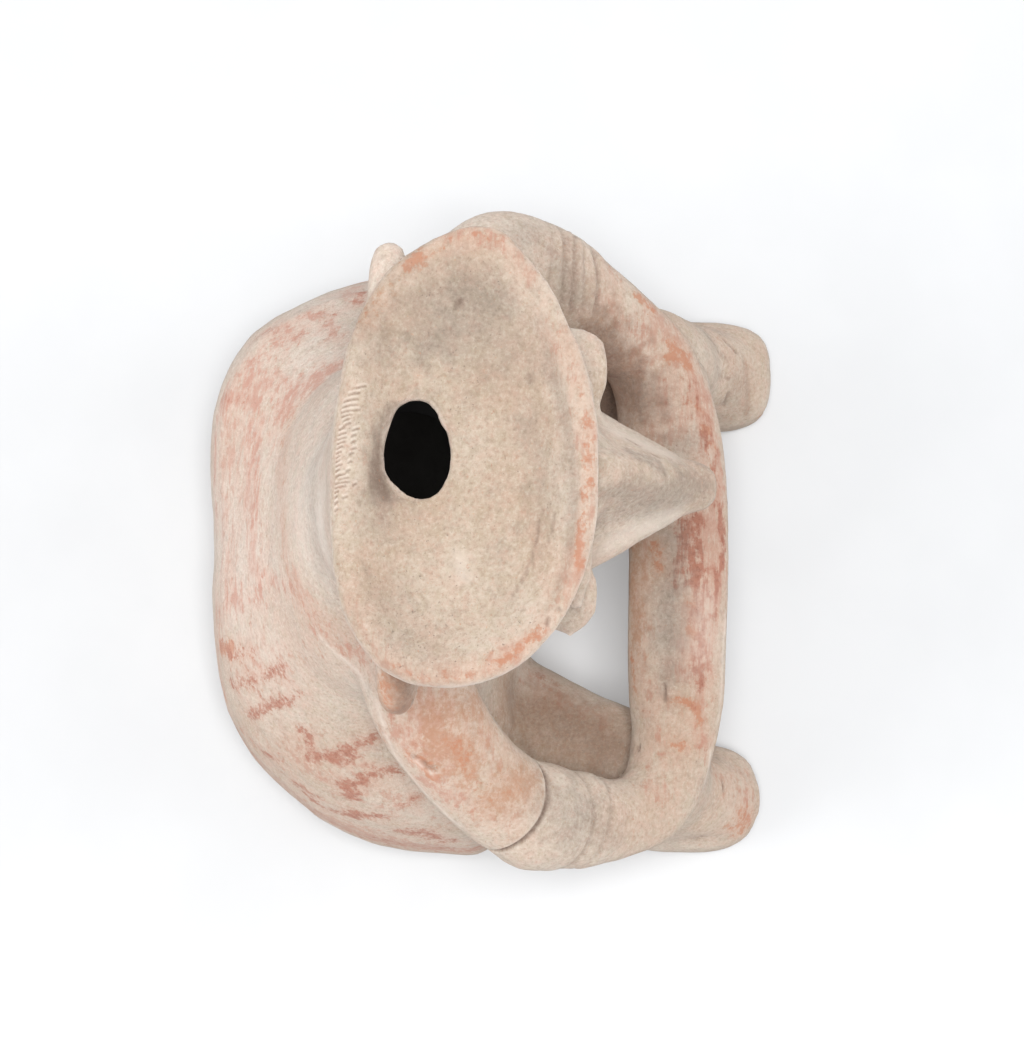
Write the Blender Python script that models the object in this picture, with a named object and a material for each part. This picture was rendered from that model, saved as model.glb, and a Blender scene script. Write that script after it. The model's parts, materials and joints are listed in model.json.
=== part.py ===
"""Seated figure of fired clay, a hollow hand-built vessel with its vent in the crown.

Metres, +Z up. The figure sits on z = 0 and faces -Y, so its own left hand is at +X.
Every form is a lump of clay of its own: the lumps are welded into one skin, smoothed as wet
clay is, hollowed down to the wall and cut flat where the figure sits.
"""

from math import copysign, cos, pi, radians, sin, tan

import bmesh
import bpy
from mathutils import Vector

# Driving dimensions
FIGURE_HEIGHT = 0.325
CLAY_WALL = 0.0075
SEAT_WALL = 0.011
VENT_LENGTH = 0.032
VENT_WIDTH = 0.0195
BAND_PROUD = 0.0020
SKIN_TRIANGLES = 8000

# The pose is drawn in millimetres on a figure of this height, and follows the real height
DRAWN_HEIGHT = 325.0
SCALE = FIGURE_HEIGHT / DRAWN_HEIGHT

# How finely the clay is worked
RING_SIDES = 56
TUBE_STEPS = 7
SKIN_VOXEL = 0.0022
HOLLOW_VOXEL = 0.0045
HOLLOW_TRIANGLES = 1200
SMOOTH_PASSES = 5
HOLLOW_CORNER = 5.0
BELOW_GROUND = -8.0

# The hips at their widest, seen from above, as x and forward from the front left round the back
HIP_OUTLINE = (
    (86, 12), (103, 2), (111, -15), (114.5, -31), (112.5, -49), (104.5, -71.5), (91, -92.5),
    (76, -103), (60, -107.5), (45, -109), (30, -108.5), (15, -106.5), (0, -105.5), (-20, -105.5),
    (-41.3, -102.8), (-59, -97.5), (-74.6, -87.6), (-88.2, -74), (-98, -60.6), (-104.3, -46.3),
    (-108.4, -28), (-109.2, -10), (-109, 4), (-98, 13), (-84, 15), (-48, 16), (0, 17), (50, 16),
)
HIP_MIDDLE = (2, -40)
# Height of the levels of the hips, and the share of the widest outline that each has
HIP_LEVELS = (
    (BELOW_GROUND, 0.93), (0, 0.95), (8, 0.975), (22, 0.995), (46, 1.0), (70, 0.98),
    (90, 0.935), (108, 0.87),
)
# Levels of the back, neck and face: height, share of the hips left in it, middle, half width,
# back, front, squareness
HIP_SIZE_ABOVE = 0.8
BODY_LEVELS = (
    (124, 0.62, 2, 76, -88, 16, 2.2),
    (140, 0.24, 2, 68, -82, 14, 2.1),
    (158, 0, 2, 63, -77, 12, 2.1),
    (176, 0, 2, 61, -72, 9, 2.0),
    (190, 0, 2, 56, -68, 7, 2.0),
    (201, 0, 2, 47, -65, 6, 2.0),
    (211, 0, 2, 40, -62, 6, 2.0),
    (221, 0, 2, 38, -59, 9, 2.0),
    (228, 0, 2, 41, -57, 21, 2.1),
    (240, 0, 2, 47, -54, 29, 2.2),
    (252, 0, 2, 51, -52, 30, 2.2),
    (266, 0, 3, 55, -50, 31, 2.2),
    (284, 0, 3, 61, -48, 33, 2.2),
)

# The rim of the crown seen from above, as x and forward
CROWN_OUTLINE = (
    (75, 1), (61, 16), (42, 27), (20, 34), (-4, 36), (-26, 34),
    (-45, 27), (-61, 13), (-68, -8), (-63, -28), (-43, -42), (-15, -46),
    (8, -46), (34, -43), (56, -34), (70, -18),
)
CROWN_MIDDLE = (3, -5)
CROWN_TILT = tan(radians(4.5))
CROWN_LEAN = tan(radians(8))
RIM_HEIGHT = 316.5
# Height of the levels of the crown, how far each lies inside the rim, and the share of what is
# then left that it spans
CROWN_LEVELS = (
    (300, 4, 1), (311, 1, 1), (RIM_HEIGHT, 0, 1), (320, 1.2, 1), (321.8, 4, 1), (321.2, 7.5, 1),
    (318.3, 11, 1), (315, 12, 0.92), (312, 12, 0.8), (309.6, 12, 0.62), (307.6, 12, 0.42),
    (306.4, 12, 0.2),
)
DISH_FLOOR = 306.0
VENT_MIDDLE = (6.5, -20)

# Arms, as x, forward, height and radius from the shoulder to past the middle of the bar that the
# two forearms make
RIGHT_ARM = (
    (-30, -28, 186, 19), (-46, -24, 187, 19.5), (-64, -18, 182, 18.8), (-82, -4, 167, 18),
    (-92, 8, 156, 18.2), (-97, 18, 149, 18), (-98, 29, 141, 17.4), (-98, 41, 133, 16.6),
    (-97, 50, 127, 14.6), (-90, 64, 118, 14.4), (-69, 70, 115, 15.8), (-52, 71, 115, 18),
    (-28, 71, 115, 18.6), (2, 71, 115, 19),
)
LEFT_ARM = (
    (30, -28, 186, 19), (46, -25, 187, 19.5), (64, -20, 184, 19.5), (83, -11, 174, 18.6),
    (96, -1, 166, 18.2), (98.6, 7, 160, 18), (96.4, 16, 154, 17.5), (93.4, 23.8, 149, 17),
    (90.3, 31.5, 143, 16.2), (86, 40, 136, 15.8), (79.8, 49, 128, 16), (69, 60, 118, 17),
    (50, 66, 115, 18.6), (28, 69.7, 115, 19), (-2, 71, 115, 19),
)
# Arm bands: where along the arm, in its own points, each ring starts and ends, and its share
# of the full height of a band
RIGHT_BANDS = ((4.6, 6.15, 1.0), (6.15, 7.0, 0.6))
LEFT_BANDS = ((5.75, 6.3, 0.6), (6.4, 7.1, 0.8), (7.2, 7.9, 0.7))

# Legs, as x, forward, height and radius from the hip to the ankle of the left one
LEG_MIDDLE = 1.0
LEG = (
    (50, -16, 50, 26), (62, 12, 60, 26), (73, 36, 72, 24.3), (79, 56, 81, 22),
    (80, 66, 74, 19), (82, 70, 57, 19), (84, 73, 36, 19.5), (86, 75, 14, 20),
)
INSTEP = ((85, 78, 42, 17), (86, 92, 24, 16.5), (86, 97, 14, 16.5))
LEFT_FOOT = ((86, 80, 13), (22, 32.5, 21), 3.4)
RIGHT_FOOT = ((-83.5, 78, 13), (22, 32, 21), 3.0)

# Lumps that are rounded masses: middle, half sizes, squareness
KNEE = ((77, 58, 84), (20, 20, 20), 2.0)
HANDS = (((60, 72, 105), (17, 11, 10), 2.5), ((-72, 74, 105), (18, 11.5, 10), 2.5))
LEFT_EAR = ((58, -31.5, 270), (21, 7.2, 17), 2.8)
RIGHT_EAR = ((-54, -25, 270), (19, 7.0, 17), 2.8)
LEFT_EYE = ((38.8, 29.3, 267), (16.2, 10.5, 7.5), 2.0)
LEFT_TEMPLE = ((44.5, 20.5, 267), (11, 13, 8), 2.0)
RIGHT_EYE = ((-32, 28, 267), (15, 10.5, 7.5), 2.0)
BROW = ((2, 30, 287), (46, 6.5, 4.5), 2.4)
LIPS = ((3, 28, 237), (15, 6, 4.5), 2.2)
CHIN = ((2, 20, 229), (22, 10, 7), 2.0)

# Nose: brow, two wings and the blunt tip, each with the radius of its rounding
NOSE = (
    ((3, 36, 298), 5), ((-21.5, 28, 248), 5.5), ((30, 28, 248), 5.5), ((4.8, 66.3, 253), 8),
)


def at(x, forward, height):
    """A drawn place in metres."""
    return Vector((x, -forward, height)) * SCALE


def clear_scene():
    for found in list(bpy.data.objects):
        bpy.data.objects.remove(found, do_unlink=True)


def spline(points, where):
    """A smooth curve through the points, at a place counted in points along it."""
    index = min(int(where), len(points) - 2)
    share = where - index
    before = points[max(index - 1, 0)]
    start = points[index]
    end = points[index + 1]
    after = points[min(index + 2, len(points) - 1)]
    return [
        0.5
        * (
            2 * b
            + (c - a) * share
            + (2 * a - 5 * b + 4 * c - d) * share**2
            + (3 * b - a - 3 * c + d) * share**3
        )
        for a, b, c, d in zip(before, start, end, after)
    ]


def directions():
    """The directions of a ring's points, from the figure's left towards its front."""
    turns = [2 * pi * side / RING_SIDES for side in range(RING_SIDES)]
    return [Vector((cos(turn), sin(turn))) for turn in turns]


def reaches(outline, middle):
    """How far a closed outline lies from its middle in each direction of a ring."""
    wrapped = outline[-1:] + outline + outline[:2]
    steps = [1 + step / 10 for step in range(10 * len(outline))]
    spokes = [Vector(spline(wrapped, step)) - Vector(middle) for step in steps]
    found = []
    for way in directions():
        nearest = max(spokes, key=lambda spoke: spoke.normalized().dot(way))
        found.append(nearest.length)
    return found


def hip_ring(height, size, inset, hips):
    """One level of the hips, drawn in by the inset."""
    ring = []
    for way, reach in zip(directions(), hips):
        place = Vector(HIP_MIDDLE) + way * (reach * size - inset)
        ring.append(at(*place, height))
    return ring


def body_ring(level, inset, hips):
    """One level of the back, neck or face: an oval with a share of the hips in it."""
    height, hip_share, middle, half_width, back, front, squareness = level
    centre = (back + front) / 2
    half_depth = (front - back) / 2 - inset
    power = 2 / squareness
    ring = []
    for way, hip in zip(directions(), hip_ring(height, HIP_SIZE_ABOVE, inset, hips)):
        across, along = (copysign(abs(part) ** power, part) for part in way)
        x = middle + (half_width - inset) * across
        own = at(x, centre + half_depth * along, height)
        ring.append(own.lerp(hip, hip_share))
    return ring


def crown_ring(height, inset, share, crown):
    """One level of the crown, following the rim, tilted with it and leaning back below it."""
    ring = []
    for way, reach in zip(directions(), crown):
        x, forward = Vector(CROWN_MIDDLE) + way * (reach - inset) * share
        forward -= CROWN_LEAN * (RIM_HEIGHT - height)
        ring.append(at(x, forward, height + CROWN_TILT * forward))
    return ring


def add_rings(mesh, rings):
    """A closed skin over a stack of rings."""
    rows = [[mesh.verts.new(point) for point in ring] for ring in rings]
    faces = [mesh.faces.new(rows[0]), mesh.faces.new(rows[-1])]
    for lower, upper in zip(rows, rows[1:]):
        for side in range(len(lower)):
            after = (side + 1) % len(lower)
            faces.append(
                mesh.faces.new((lower[side], lower[after], upper[after], upper[side]))
            )
    bmesh.ops.recalc_face_normals(mesh, faces=faces)


def add_lump(mesh, middle, half_sizes, squareness):
    """A rounded mass, from a ball at squareness 2 towards a block."""
    made = bmesh.ops.create_icosphere(mesh, subdivisions=4, radius=1)
    for vert in made["verts"]:
        length = sum(abs(part) ** squareness for part in vert.co) ** (1 / squareness)
        x, forward, up = (vert.co[i] / length * half_sizes[i] for i in range(3))
        vert.co = at(middle[0] + x, middle[1] - forward, middle[2] + up)


def tube_ring(points, where, proud=0.0):
    """A ring square to a limb at one place along it."""
    x, forward, height, radius = spline(points, where)
    nudge = 0.02
    ahead = spline(points, min(where + nudge, len(points) - 1))
    behind = spline(points, max(where - nudge, 0))
    direction = at(*ahead[:3]) - at(*behind[:3])
    direction.normalize()
    side = direction.cross(Vector((0, 0, 1)))
    if side.length < 0.2:
        side = direction.cross(Vector((0, -1, 0)))
    side.normalize()
    over = side.cross(direction)
    reach = radius * SCALE + proud
    middle = at(x, forward, height)
    sides = RING_SIDES // 2
    return [
        middle
        + side * reach * cos(2 * pi * step / sides)
        + over * reach * sin(2 * pi * step / sides)
        for step in range(sides)
    ]


def add_limb(mesh, points):
    """A rolled sausage of clay that follows its points."""
    last = len(points) - 1
    steps = last * TUBE_STEPS
    add_rings(mesh, [tube_ring(points, last * step / steps) for step in range(steps + 1)])


def add_band(mesh, points, start, end, share):
    """A flat ring of clay round a limb, with soft edges."""
    proud = BAND_PROUD * share
    rings = []
    for step in range(9):
        along = step / 8
        rise = min(1, 4 * min(along, 1 - along))
        rings.append(tube_ring(points, start + (end - start) * along, proud * rise))
    add_rings(mesh, rings)


def mirrored(points):
    """The right leg from the left one."""
    return tuple((2 * LEG_MIDDLE - point[0],) + tuple(point[1:]) for point in points)


def add_body(mesh, hips, crown):
    rings = [hip_ring(height, size, 0, hips) for height, size in HIP_LEVELS]
    rings += [body_ring(level, 0, hips) for level in BODY_LEVELS]
    rings += [crown_ring(*level, crown) for level in CROWN_LEVELS]
    add_rings(mesh, rings)


def add_legs(mesh):
    for points in (LEG, mirrored(LEG), INSTEP, mirrored(INSTEP)):
        add_limb(mesh, points)
    for middle, half_sizes, squareness in (LEFT_FOOT, RIGHT_FOOT):
        add_lump(mesh, middle, half_sizes, squareness)
    middle, half_sizes, squareness = KNEE
    add_lump(mesh, middle, half_sizes, squareness)
    add_lump(mesh, mirrored([middle])[0], half_sizes, squareness)


def add_arms(mesh):
    for points, bands in ((RIGHT_ARM, RIGHT_BANDS), (LEFT_ARM, LEFT_BANDS)):
        add_limb(mesh, points)
        for start, end, share in bands:
            add_band(mesh, points, start, end, share)
    for middle, half_sizes, squareness in HANDS:
        add_lump(mesh, middle, half_sizes, squareness)


def add_nose(mesh):
    """The long blunt nose: a skin stretched over four small balls of clay."""
    ball = bmesh.new()
    bmesh.ops.create_icosphere(ball, subdivisions=2, radius=SCALE)
    ways = [vert.co.copy() for vert in ball.verts]
    ball.free()
    skin = []
    for corner, radius in NOSE:
        skin += [mesh.verts.new(at(*corner) + radius * way) for way in ways]
    hull = bmesh.ops.convex_hull(mesh, input=skin)
    inner = [item for item in hull["geom_interior"] if isinstance(item, bmesh.types.BMVert)]
    bmesh.ops.delete(mesh, geom=inner, context="VERTS")


def add_face(mesh):
    for middle, half_sizes, squareness in (LEFT_EYE, LEFT_TEMPLE, RIGHT_EYE, BROW, LIPS, CHIN):
        add_lump(mesh, middle, half_sizes, squareness)


def add_ears(mesh):
    for middle, half_sizes, squareness in (LEFT_EAR, RIGHT_EAR):
        add_lump(mesh, middle, half_sizes, squareness)


def object_from(mesh, name):
    data = bpy.data.meshes.new(name)
    mesh.to_mesh(data)
    mesh.free()
    made = bpy.data.objects.new(name, data)
    bpy.context.scene.collection.objects.link(made)
    return made


def weld(lumps, voxel, passes, triangles):
    """The overlapping lumps as one smooth skin with about this many triangles."""
    remesh = lumps.modifiers.new("weld", "REMESH")
    remesh.mode = "VOXEL"
    remesh.voxel_size = voxel
    smooth = lumps.modifiers.new("smooth", "SMOOTH")
    smooth.factor = 0.5
    smooth.iterations = passes
    settle(lumps)
    faces = sum(len(face.vertices) - 2 for face in lumps.data.polygons)
    thin = lumps.modifiers.new("thin", "DECIMATE")
    thin.ratio = min(1.0, triangles / faces)
    thin.use_collapse_triangulate = True
    settle(lumps)


def settle(target):
    """Make the result of the modifiers the object's own mesh."""
    graph = bpy.context.evaluated_depsgraph_get()
    finished = bpy.data.meshes.new_from_object(target.evaluated_get(graph))
    target.modifiers.clear()
    target.data = finished


def cut(target, cutter):
    """Take the cutter's form away and remove the cutter."""
    boolean = target.modifiers.new("cut", "BOOLEAN")
    boolean.operation = "DIFFERENCE"
    boolean.solver = "EXACT"
    boolean.object = cutter
    settle(target)
    bpy.data.objects.remove(cutter, do_unlink=True)


def outer_skin(hips, crown):
    mesh = bmesh.new()
    add_body(mesh, hips, crown)
    add_legs(mesh)
    add_arms(mesh)
    add_ears(mesh)
    add_face(mesh)
    add_nose(mesh)
    figure = object_from(mesh, "seated_figure")
    weld(figure, SKIN_VOXEL, SMOOTH_PASSES, SKIN_TRIANGLES)
    return figure


def hollow(hips):
    """The space inside, one wall within the body from the seat to the floor of the dish."""
    wall = CLAY_WALL / SCALE
    seat = SEAT_WALL / SCALE
    rings = [
        hip_ring(seat, HIP_LEVELS[1][1], wall + HOLLOW_CORNER, hips),
        hip_ring(seat + HOLLOW_CORNER, HIP_LEVELS[2][1], wall, hips),
    ]
    for height, size in HIP_LEVELS:
        if height > seat + 2 * HOLLOW_CORNER:
            rings.append(hip_ring(height, size, wall, hips))
    rings += [body_ring(level, wall, hips) for level in BODY_LEVELS]
    height, *sizes = BODY_LEVELS[-1]
    top = (DISH_FLOOR - wall, *sizes)
    rings.append(body_ring(top, wall + HOLLOW_CORNER, hips))
    mesh = bmesh.new()
    add_rings(mesh, rings)
    space = object_from(mesh, "hollow")
    weld(space, HOLLOW_VOXEL, 2, HOLLOW_TRIANGLES)
    return space


def vent():
    """The oval hole that was cut through the dish with a knife."""
    x, forward = VENT_MIDDLE
    low = at(x, forward, DISH_FLOOR - 20).z
    high = at(x, forward, DRAWN_HEIGHT + 10).z
    mesh = bmesh.new()
    rings = []
    for height in (low, high):
        ring = []
        for side in range(24):
            turn = 2 * pi * side / 24
            uneven = 1 + 0.04 * cos(3 * turn + 0.6) - 0.03 * cos(2 * turn)
            offset = Vector(
                (VENT_LENGTH / 2 * uneven * cos(turn), VENT_WIDTH / 2 * uneven * sin(turn), 0)
            )
            place = at(x, forward, 0) + offset
            place.z = height
            ring.append(place)
        rings.append(ring)
    add_rings(mesh, rings)
    return object_from(mesh, "vent")


def ground():
    """What lies below the seat."""
    reach = FIGURE_HEIGHT
    mesh = bmesh.new()
    bmesh.ops.create_cube(mesh, size=2 * reach)
    bmesh.ops.translate(mesh, verts=mesh.verts, vec=(0, 0, -reach))
    return object_from(mesh, "ground")


def centre_over_origin(figure):
    """Put the middle of the figure's box over the origin."""
    xs = [vert.co.x for vert in figure.data.vertices]
    ys = [vert.co.y for vert in figure.data.vertices]
    middle = Vector(((min(xs) + max(xs)) / 2, (min(ys) + max(ys)) / 2, 0))
    for vert in figure.data.vertices:
        vert.co -= middle


def fired_clay():
    clay = bpy.data.materials.new("buff_fired_clay")
    clay.use_nodes = True
    surface = clay.node_tree.nodes["Principled BSDF"]
    surface.inputs["Base Color"].default_value = (0.52, 0.40, 0.30, 1)
    surface.inputs["Roughness"].default_value = 0.9
    surface.inputs["Metallic"].default_value = 0.0
    return clay


def main():
    clear_scene()
    hips = reaches(HIP_OUTLINE, HIP_MIDDLE)
    crown = reaches(CROWN_OUTLINE, CROWN_MIDDLE)
    figure = outer_skin(hips, crown)
    cut(figure, ground())
    cut(figure, hollow(hips))
    cut(figure, vent())
    centre_over_origin(figure)
    figure.data.shade_smooth()
    figure.data.materials.clear()
    figure.data.materials.append(fired_clay())


main()
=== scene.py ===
# %% [markdown]
# # A seated figure of fired clay
# A potter built this hollow figure from coils and lumps of buff clay, wiped it smooth with wet
# hands, scored it with a pointed stick, brushed red slip over it and fired it in an open fire.
# It sits with its arms folded over drawn-up knees, and a dished oval crown with a vent hole in it
# stands on its head. The plain solid of the figure is loaded first. Its skin is then worked the
# way the potter worked it: smoothed, dented, scored, painted and worn.

from math import cos, pi, radians, sin

import bpy
import numpy as np
from mathutils import Matrix, Vector, noise
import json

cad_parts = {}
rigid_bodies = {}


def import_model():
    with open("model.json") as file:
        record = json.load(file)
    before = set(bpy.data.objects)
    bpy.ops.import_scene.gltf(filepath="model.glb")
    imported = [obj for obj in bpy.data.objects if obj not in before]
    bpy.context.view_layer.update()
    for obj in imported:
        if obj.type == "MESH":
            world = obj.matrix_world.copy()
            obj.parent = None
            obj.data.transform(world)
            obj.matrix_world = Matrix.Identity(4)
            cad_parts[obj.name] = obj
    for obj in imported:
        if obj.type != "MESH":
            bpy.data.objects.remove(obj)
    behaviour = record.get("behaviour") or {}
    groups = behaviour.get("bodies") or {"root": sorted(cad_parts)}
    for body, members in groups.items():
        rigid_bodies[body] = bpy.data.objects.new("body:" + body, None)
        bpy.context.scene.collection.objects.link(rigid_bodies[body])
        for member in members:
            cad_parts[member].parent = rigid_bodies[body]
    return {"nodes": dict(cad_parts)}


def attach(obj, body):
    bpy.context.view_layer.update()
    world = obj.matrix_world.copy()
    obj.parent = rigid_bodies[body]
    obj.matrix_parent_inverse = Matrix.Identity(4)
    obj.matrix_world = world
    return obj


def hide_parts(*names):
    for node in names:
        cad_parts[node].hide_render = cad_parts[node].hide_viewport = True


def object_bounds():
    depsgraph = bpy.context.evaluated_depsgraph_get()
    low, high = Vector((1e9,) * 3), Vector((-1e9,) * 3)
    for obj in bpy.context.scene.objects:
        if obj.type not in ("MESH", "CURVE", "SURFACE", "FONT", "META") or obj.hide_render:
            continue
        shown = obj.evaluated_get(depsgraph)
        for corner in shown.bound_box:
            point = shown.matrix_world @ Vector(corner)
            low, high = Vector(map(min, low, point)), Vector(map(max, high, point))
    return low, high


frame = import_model()
scene = bpy.context.scene
solid = frame["nodes"]["seated_figure"]
solid_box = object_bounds()
print("solid", [[round(value, 4) for value in corner] for corner in solid_box])

# %% [markdown]
# ## A drawing in millimetres
# Every mark on the figure is placed on one drawing: x to the figure's own left, then how far
# forward, then the height above the table, in millimetres. One function turns such a place into
# metres of the scene, and another turns whole arrays of places back.

# %% The drawing and the scene
MIDDLE_X = 0.41
MIDDLE_FORWARD = 1.81


def clay(x, forward, height):
    """A place of the drawing, in metres of the scene."""
    return Vector((x + MIDDLE_X, MIDDLE_FORWARD - forward, height)) / 1000


def drawn(places):
    """Rows of places in metres, as rows of x, forward and height in millimetres."""
    x, y, z = 1000 * places.T
    return np.stack([x - MIDDLE_X, MIDDLE_FORWARD - y, z], axis=1)


# %% [markdown]
# ## The camera
# The figure is seen from straight above, from 1.2 m up, with its face to the right. The camera
# leans 7.8 degrees towards the figure's left and is rolled 1.5 degrees.

# %% Camera
LEAN = radians(7.8)
ROLL = radians(1.5)
FRAME_HEIGHT_PX = 1048
FOCAL_PX = 2980
SENSOR = 24
CAMERA_PLACE = (-138.35, 9.5, 1199.8)

ahead = Vector((sin(LEAN), 0, -cos(LEAN)))
level_up = Vector((cos(LEAN), 0, sin(LEAN)))
level_right = Vector((0, -1, 0))
right = level_right * cos(ROLL) + level_up * sin(ROLL)
up = level_up * cos(ROLL) - level_right * sin(ROLL)

lens = bpy.data.cameras.new("overhead_camera")
lens.sensor_fit = "VERTICAL"
lens.sensor_height = SENSOR
lens.lens = FOCAL_PX / FRAME_HEIGHT_PX * SENSOR
camera = bpy.data.objects.new("overhead_camera", lens)
scene.collection.objects.link(camera)
turned = Matrix((right, up, -ahead)).transposed().to_4x4()
camera.matrix_world = Matrix.Translation(clay(*CAMERA_PLACE)) @ turned
scene.camera = camera
print("camera", round(lens.lens, 2), "mm")

# %% [markdown]
# ## A skin of fine, even faces
# The solid has some nine thousand flat triangles, and leather-hard clay has none. A copy of it is
# merged, remeshed into even squares of under 3 mm and smoothed, which wipes the facets away as
# wet hands do. Smoothing also shrinks what sticks out, so a second pass pushes the other way and
# brings the nose, ears and arms back to size. The solid itself stays as it is, for the physics.

# %% Copy, remesh and smooth
SKIN_SQUARE = 0.0027
MERGED_WITHIN = 0.00001


def only(piece):
    """Selects this piece alone."""
    bpy.ops.object.select_all(action="DESELECT")
    piece.select_set(True)
    bpy.context.view_layer.objects.active = piece


def apply(piece, kind, **settings):
    """Adds one modifier with its settings and applies it."""
    only(piece)
    modifier = piece.modifiers.new(kind.lower(), kind)
    for name, value in settings.items():
        setattr(modifier, name, value)
    bpy.ops.object.modifier_apply(modifier=modifier.name)


figure = bpy.data.objects.new("clay_figure", solid.data.copy())
scene.collection.objects.link(figure)
only(figure)
bpy.ops.object.mode_set(mode="EDIT")
bpy.ops.mesh.select_all(action="SELECT")
bpy.ops.mesh.remove_doubles(threshold=MERGED_WITHIN)
bpy.ops.object.mode_set(mode="OBJECT")
apply(figure, "REMESH", mode="VOXEL", voxel_size=SKIN_SQUARE, use_smooth_shade=True)
apply(figure, "SMOOTH", factor=0.5, iterations=6)
apply(figure, "SMOOTH", factor=-0.53, iterations=6)
apply(figure, "SMOOTH", factor=0.5, iterations=1)
print("skin", len(figure.data.polygons), "faces")

# %% [markdown]
# ## The hidden wall inside
# The figure is hollow, and only the dark of the vent shows of its inside, so the inner wall needs
# few faces. A ring of faces in the edge of the vent is hidden, so that selecting all that is
# linked to the inner floor stops there. What is selected gets a material slot of its own and is
# thinned out, together with the flat underside.

# %% Thin the inner wall
OUTSIDE, INSIDE = 0, 1
VENT = (6.5, -20, 16, 9.8)
VENT_WALL_LOW, VENT_WALL_HIGH = 299.5, 304
INNER_FLOOR = (2, -40, 11)
HIDDEN_SHARE = 1.25
UNDERSIDE_HEIGHT = 0.4
SHARE_KEPT = 0.06


def face_places():
    """The middle of each face, on the drawing."""
    places = np.empty(3 * len(figure.data.polygons))
    figure.data.polygons.foreach_get("center", places)
    return drawn(places.reshape(-1, 3))


def vent_share(places):
    """How far out each place is from the middle of the vent: 1 on its edge."""
    x, forward, half_length, half_width = VENT
    across = (places[:, 0] - x) / half_length
    along = (places[:, 1] - forward) / half_width
    return np.hypot(across, along)


def select_faces(chosen):
    """Leaves edit mode open with just these faces selected."""
    bpy.ops.object.mode_set(mode="EDIT")
    bpy.ops.mesh.select_mode(type="FACE")
    bpy.ops.mesh.select_all(action="DESELECT")
    bpy.ops.object.mode_set(mode="OBJECT")
    figure.data.polygons.foreach_set("select", chosen)
    bpy.ops.object.mode_set(mode="EDIT")


only(figure)
places = face_places()
in_wall = (places[:, 2] > VENT_WALL_LOW) & (places[:, 2] < VENT_WALL_HIGH)
select_faces(in_wall & (vent_share(places) < HIDDEN_SHARE))
bpy.ops.mesh.hide(unselected=False)
inner_floor = np.linalg.norm(places - INNER_FLOOR, axis=1)
select_faces(inner_floor == inner_floor.min())
bpy.ops.mesh.select_linked()
bpy.ops.object.mode_set(mode="OBJECT")
slots = np.zeros(len(figure.data.polygons), np.int32)
figure.data.polygons.foreach_get("select", slots)
figure.data.materials.clear()
for name in ("outside", "inside"):
    figure.data.materials.append(bpy.data.materials.new(name))
figure.data.polygons.foreach_set("material_index", slots)
underside = (places[:, 2] < UNDERSIDE_HEIGHT) & (slots == OUTSIDE)
select_faces((slots == INSIDE) | underside)
bpy.ops.mesh.decimate(ratio=SHARE_KEPT)
bpy.ops.mesh.reveal(select=False)
bpy.ops.object.mode_set(mode="OBJECT")
print("inner wall", slots.sum(), "faces before,", len(figure.data.polygons), "in all after")

# %% [markdown]
# ## Finer faces where the marks are
# A stick drawn through clay leaves a line about 1 mm wide. The squares are cut in half where such
# marks are, and in half again at the edge of the vent, at the crease of the right arm and, twice,
# on the back of the rim, where the hair is scored. The eyes are then wiped smooth.

# %% Cut the faces smaller
CROWN = ((-78, -56, 303), (84, 46, 332))
FACE = ((-60, 15, 245), (62, 76, 291))
MOUTH = ((-18, 14, 228), (22, 60, 244))
RIGHT_BAND = ((-122, 0, 126), (-70, 48, 176))
LEFT_BAND = ((70, 10, 128), (124, 48, 182))
RIGHT_HAUNCH = ((-112, -104, 80), (-28, -10, 150))
BAR = ((-100, 52, 115), (94, 96, 142))
RIGHT_HAND = ((-92, 80, 94), (-60, 100, 115))
LEFT_HAND = ((50, 80, 94), (82, 100, 115))
TOES = ((-108, 91, 1), (110, 118, 50))
HAIR_BAND = ((-19, -47.5, 314), (26, -33, 332))
VENT_EDGE = ((-12, -34, 298), (26, -8, 314))
CREASE = ((-114, 4, 136), (-76, 24, 172))
LEFT_EYE = ((22, 8, 250), (64, 48, 290))
RIGHT_EYE = ((-52, 14, 256), (-22, 46, 282))
CUT_ONCE = (
    CROWN, FACE, MOUTH, RIGHT_BAND, LEFT_BAND, RIGHT_HAUNCH, BAR, RIGHT_HAND, LEFT_HAND, TOES,
)
CUT_TWICE = (HAIR_BAND, VENT_EDGE, CREASE)


def refine(lowest, highest):
    """Cuts the outer faces between two corners of the drawing in half each way."""
    only(figure)
    slots = np.zeros(len(figure.data.polygons), np.int32)
    figure.data.polygons.foreach_get("material_index", slots)
    places = face_places()
    within = np.all((places > lowest) & (places < highest), axis=1)
    select_faces(within & (slots == OUTSIDE))
    bpy.ops.mesh.subdivide(number_cuts=1)
    bpy.ops.mesh.vertices_smooth(factor=0.5, repeat=2)
    bpy.ops.object.mode_set(mode="OBJECT")


def wipe(lowest, highest, times):
    """Smooths the faces between two corners of the drawing, as a wet thumb does."""
    only(figure)
    places = face_places()
    select_faces(np.all((places > lowest) & (places < highest), axis=1))
    bpy.ops.mesh.vertices_smooth(factor=0.5, repeat=times)
    bpy.ops.object.mode_set(mode="OBJECT")


for lowest, highest in (*CUT_ONCE, *CUT_TWICE, HAIR_BAND):
    refine(lowest, highest)
wipe(*LEFT_EYE, 28)
wipe(*RIGHT_EYE, 18)
figure.data.calc_loop_triangles()
print("skin", len(figure.data.loop_triangles), "triangles")
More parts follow.
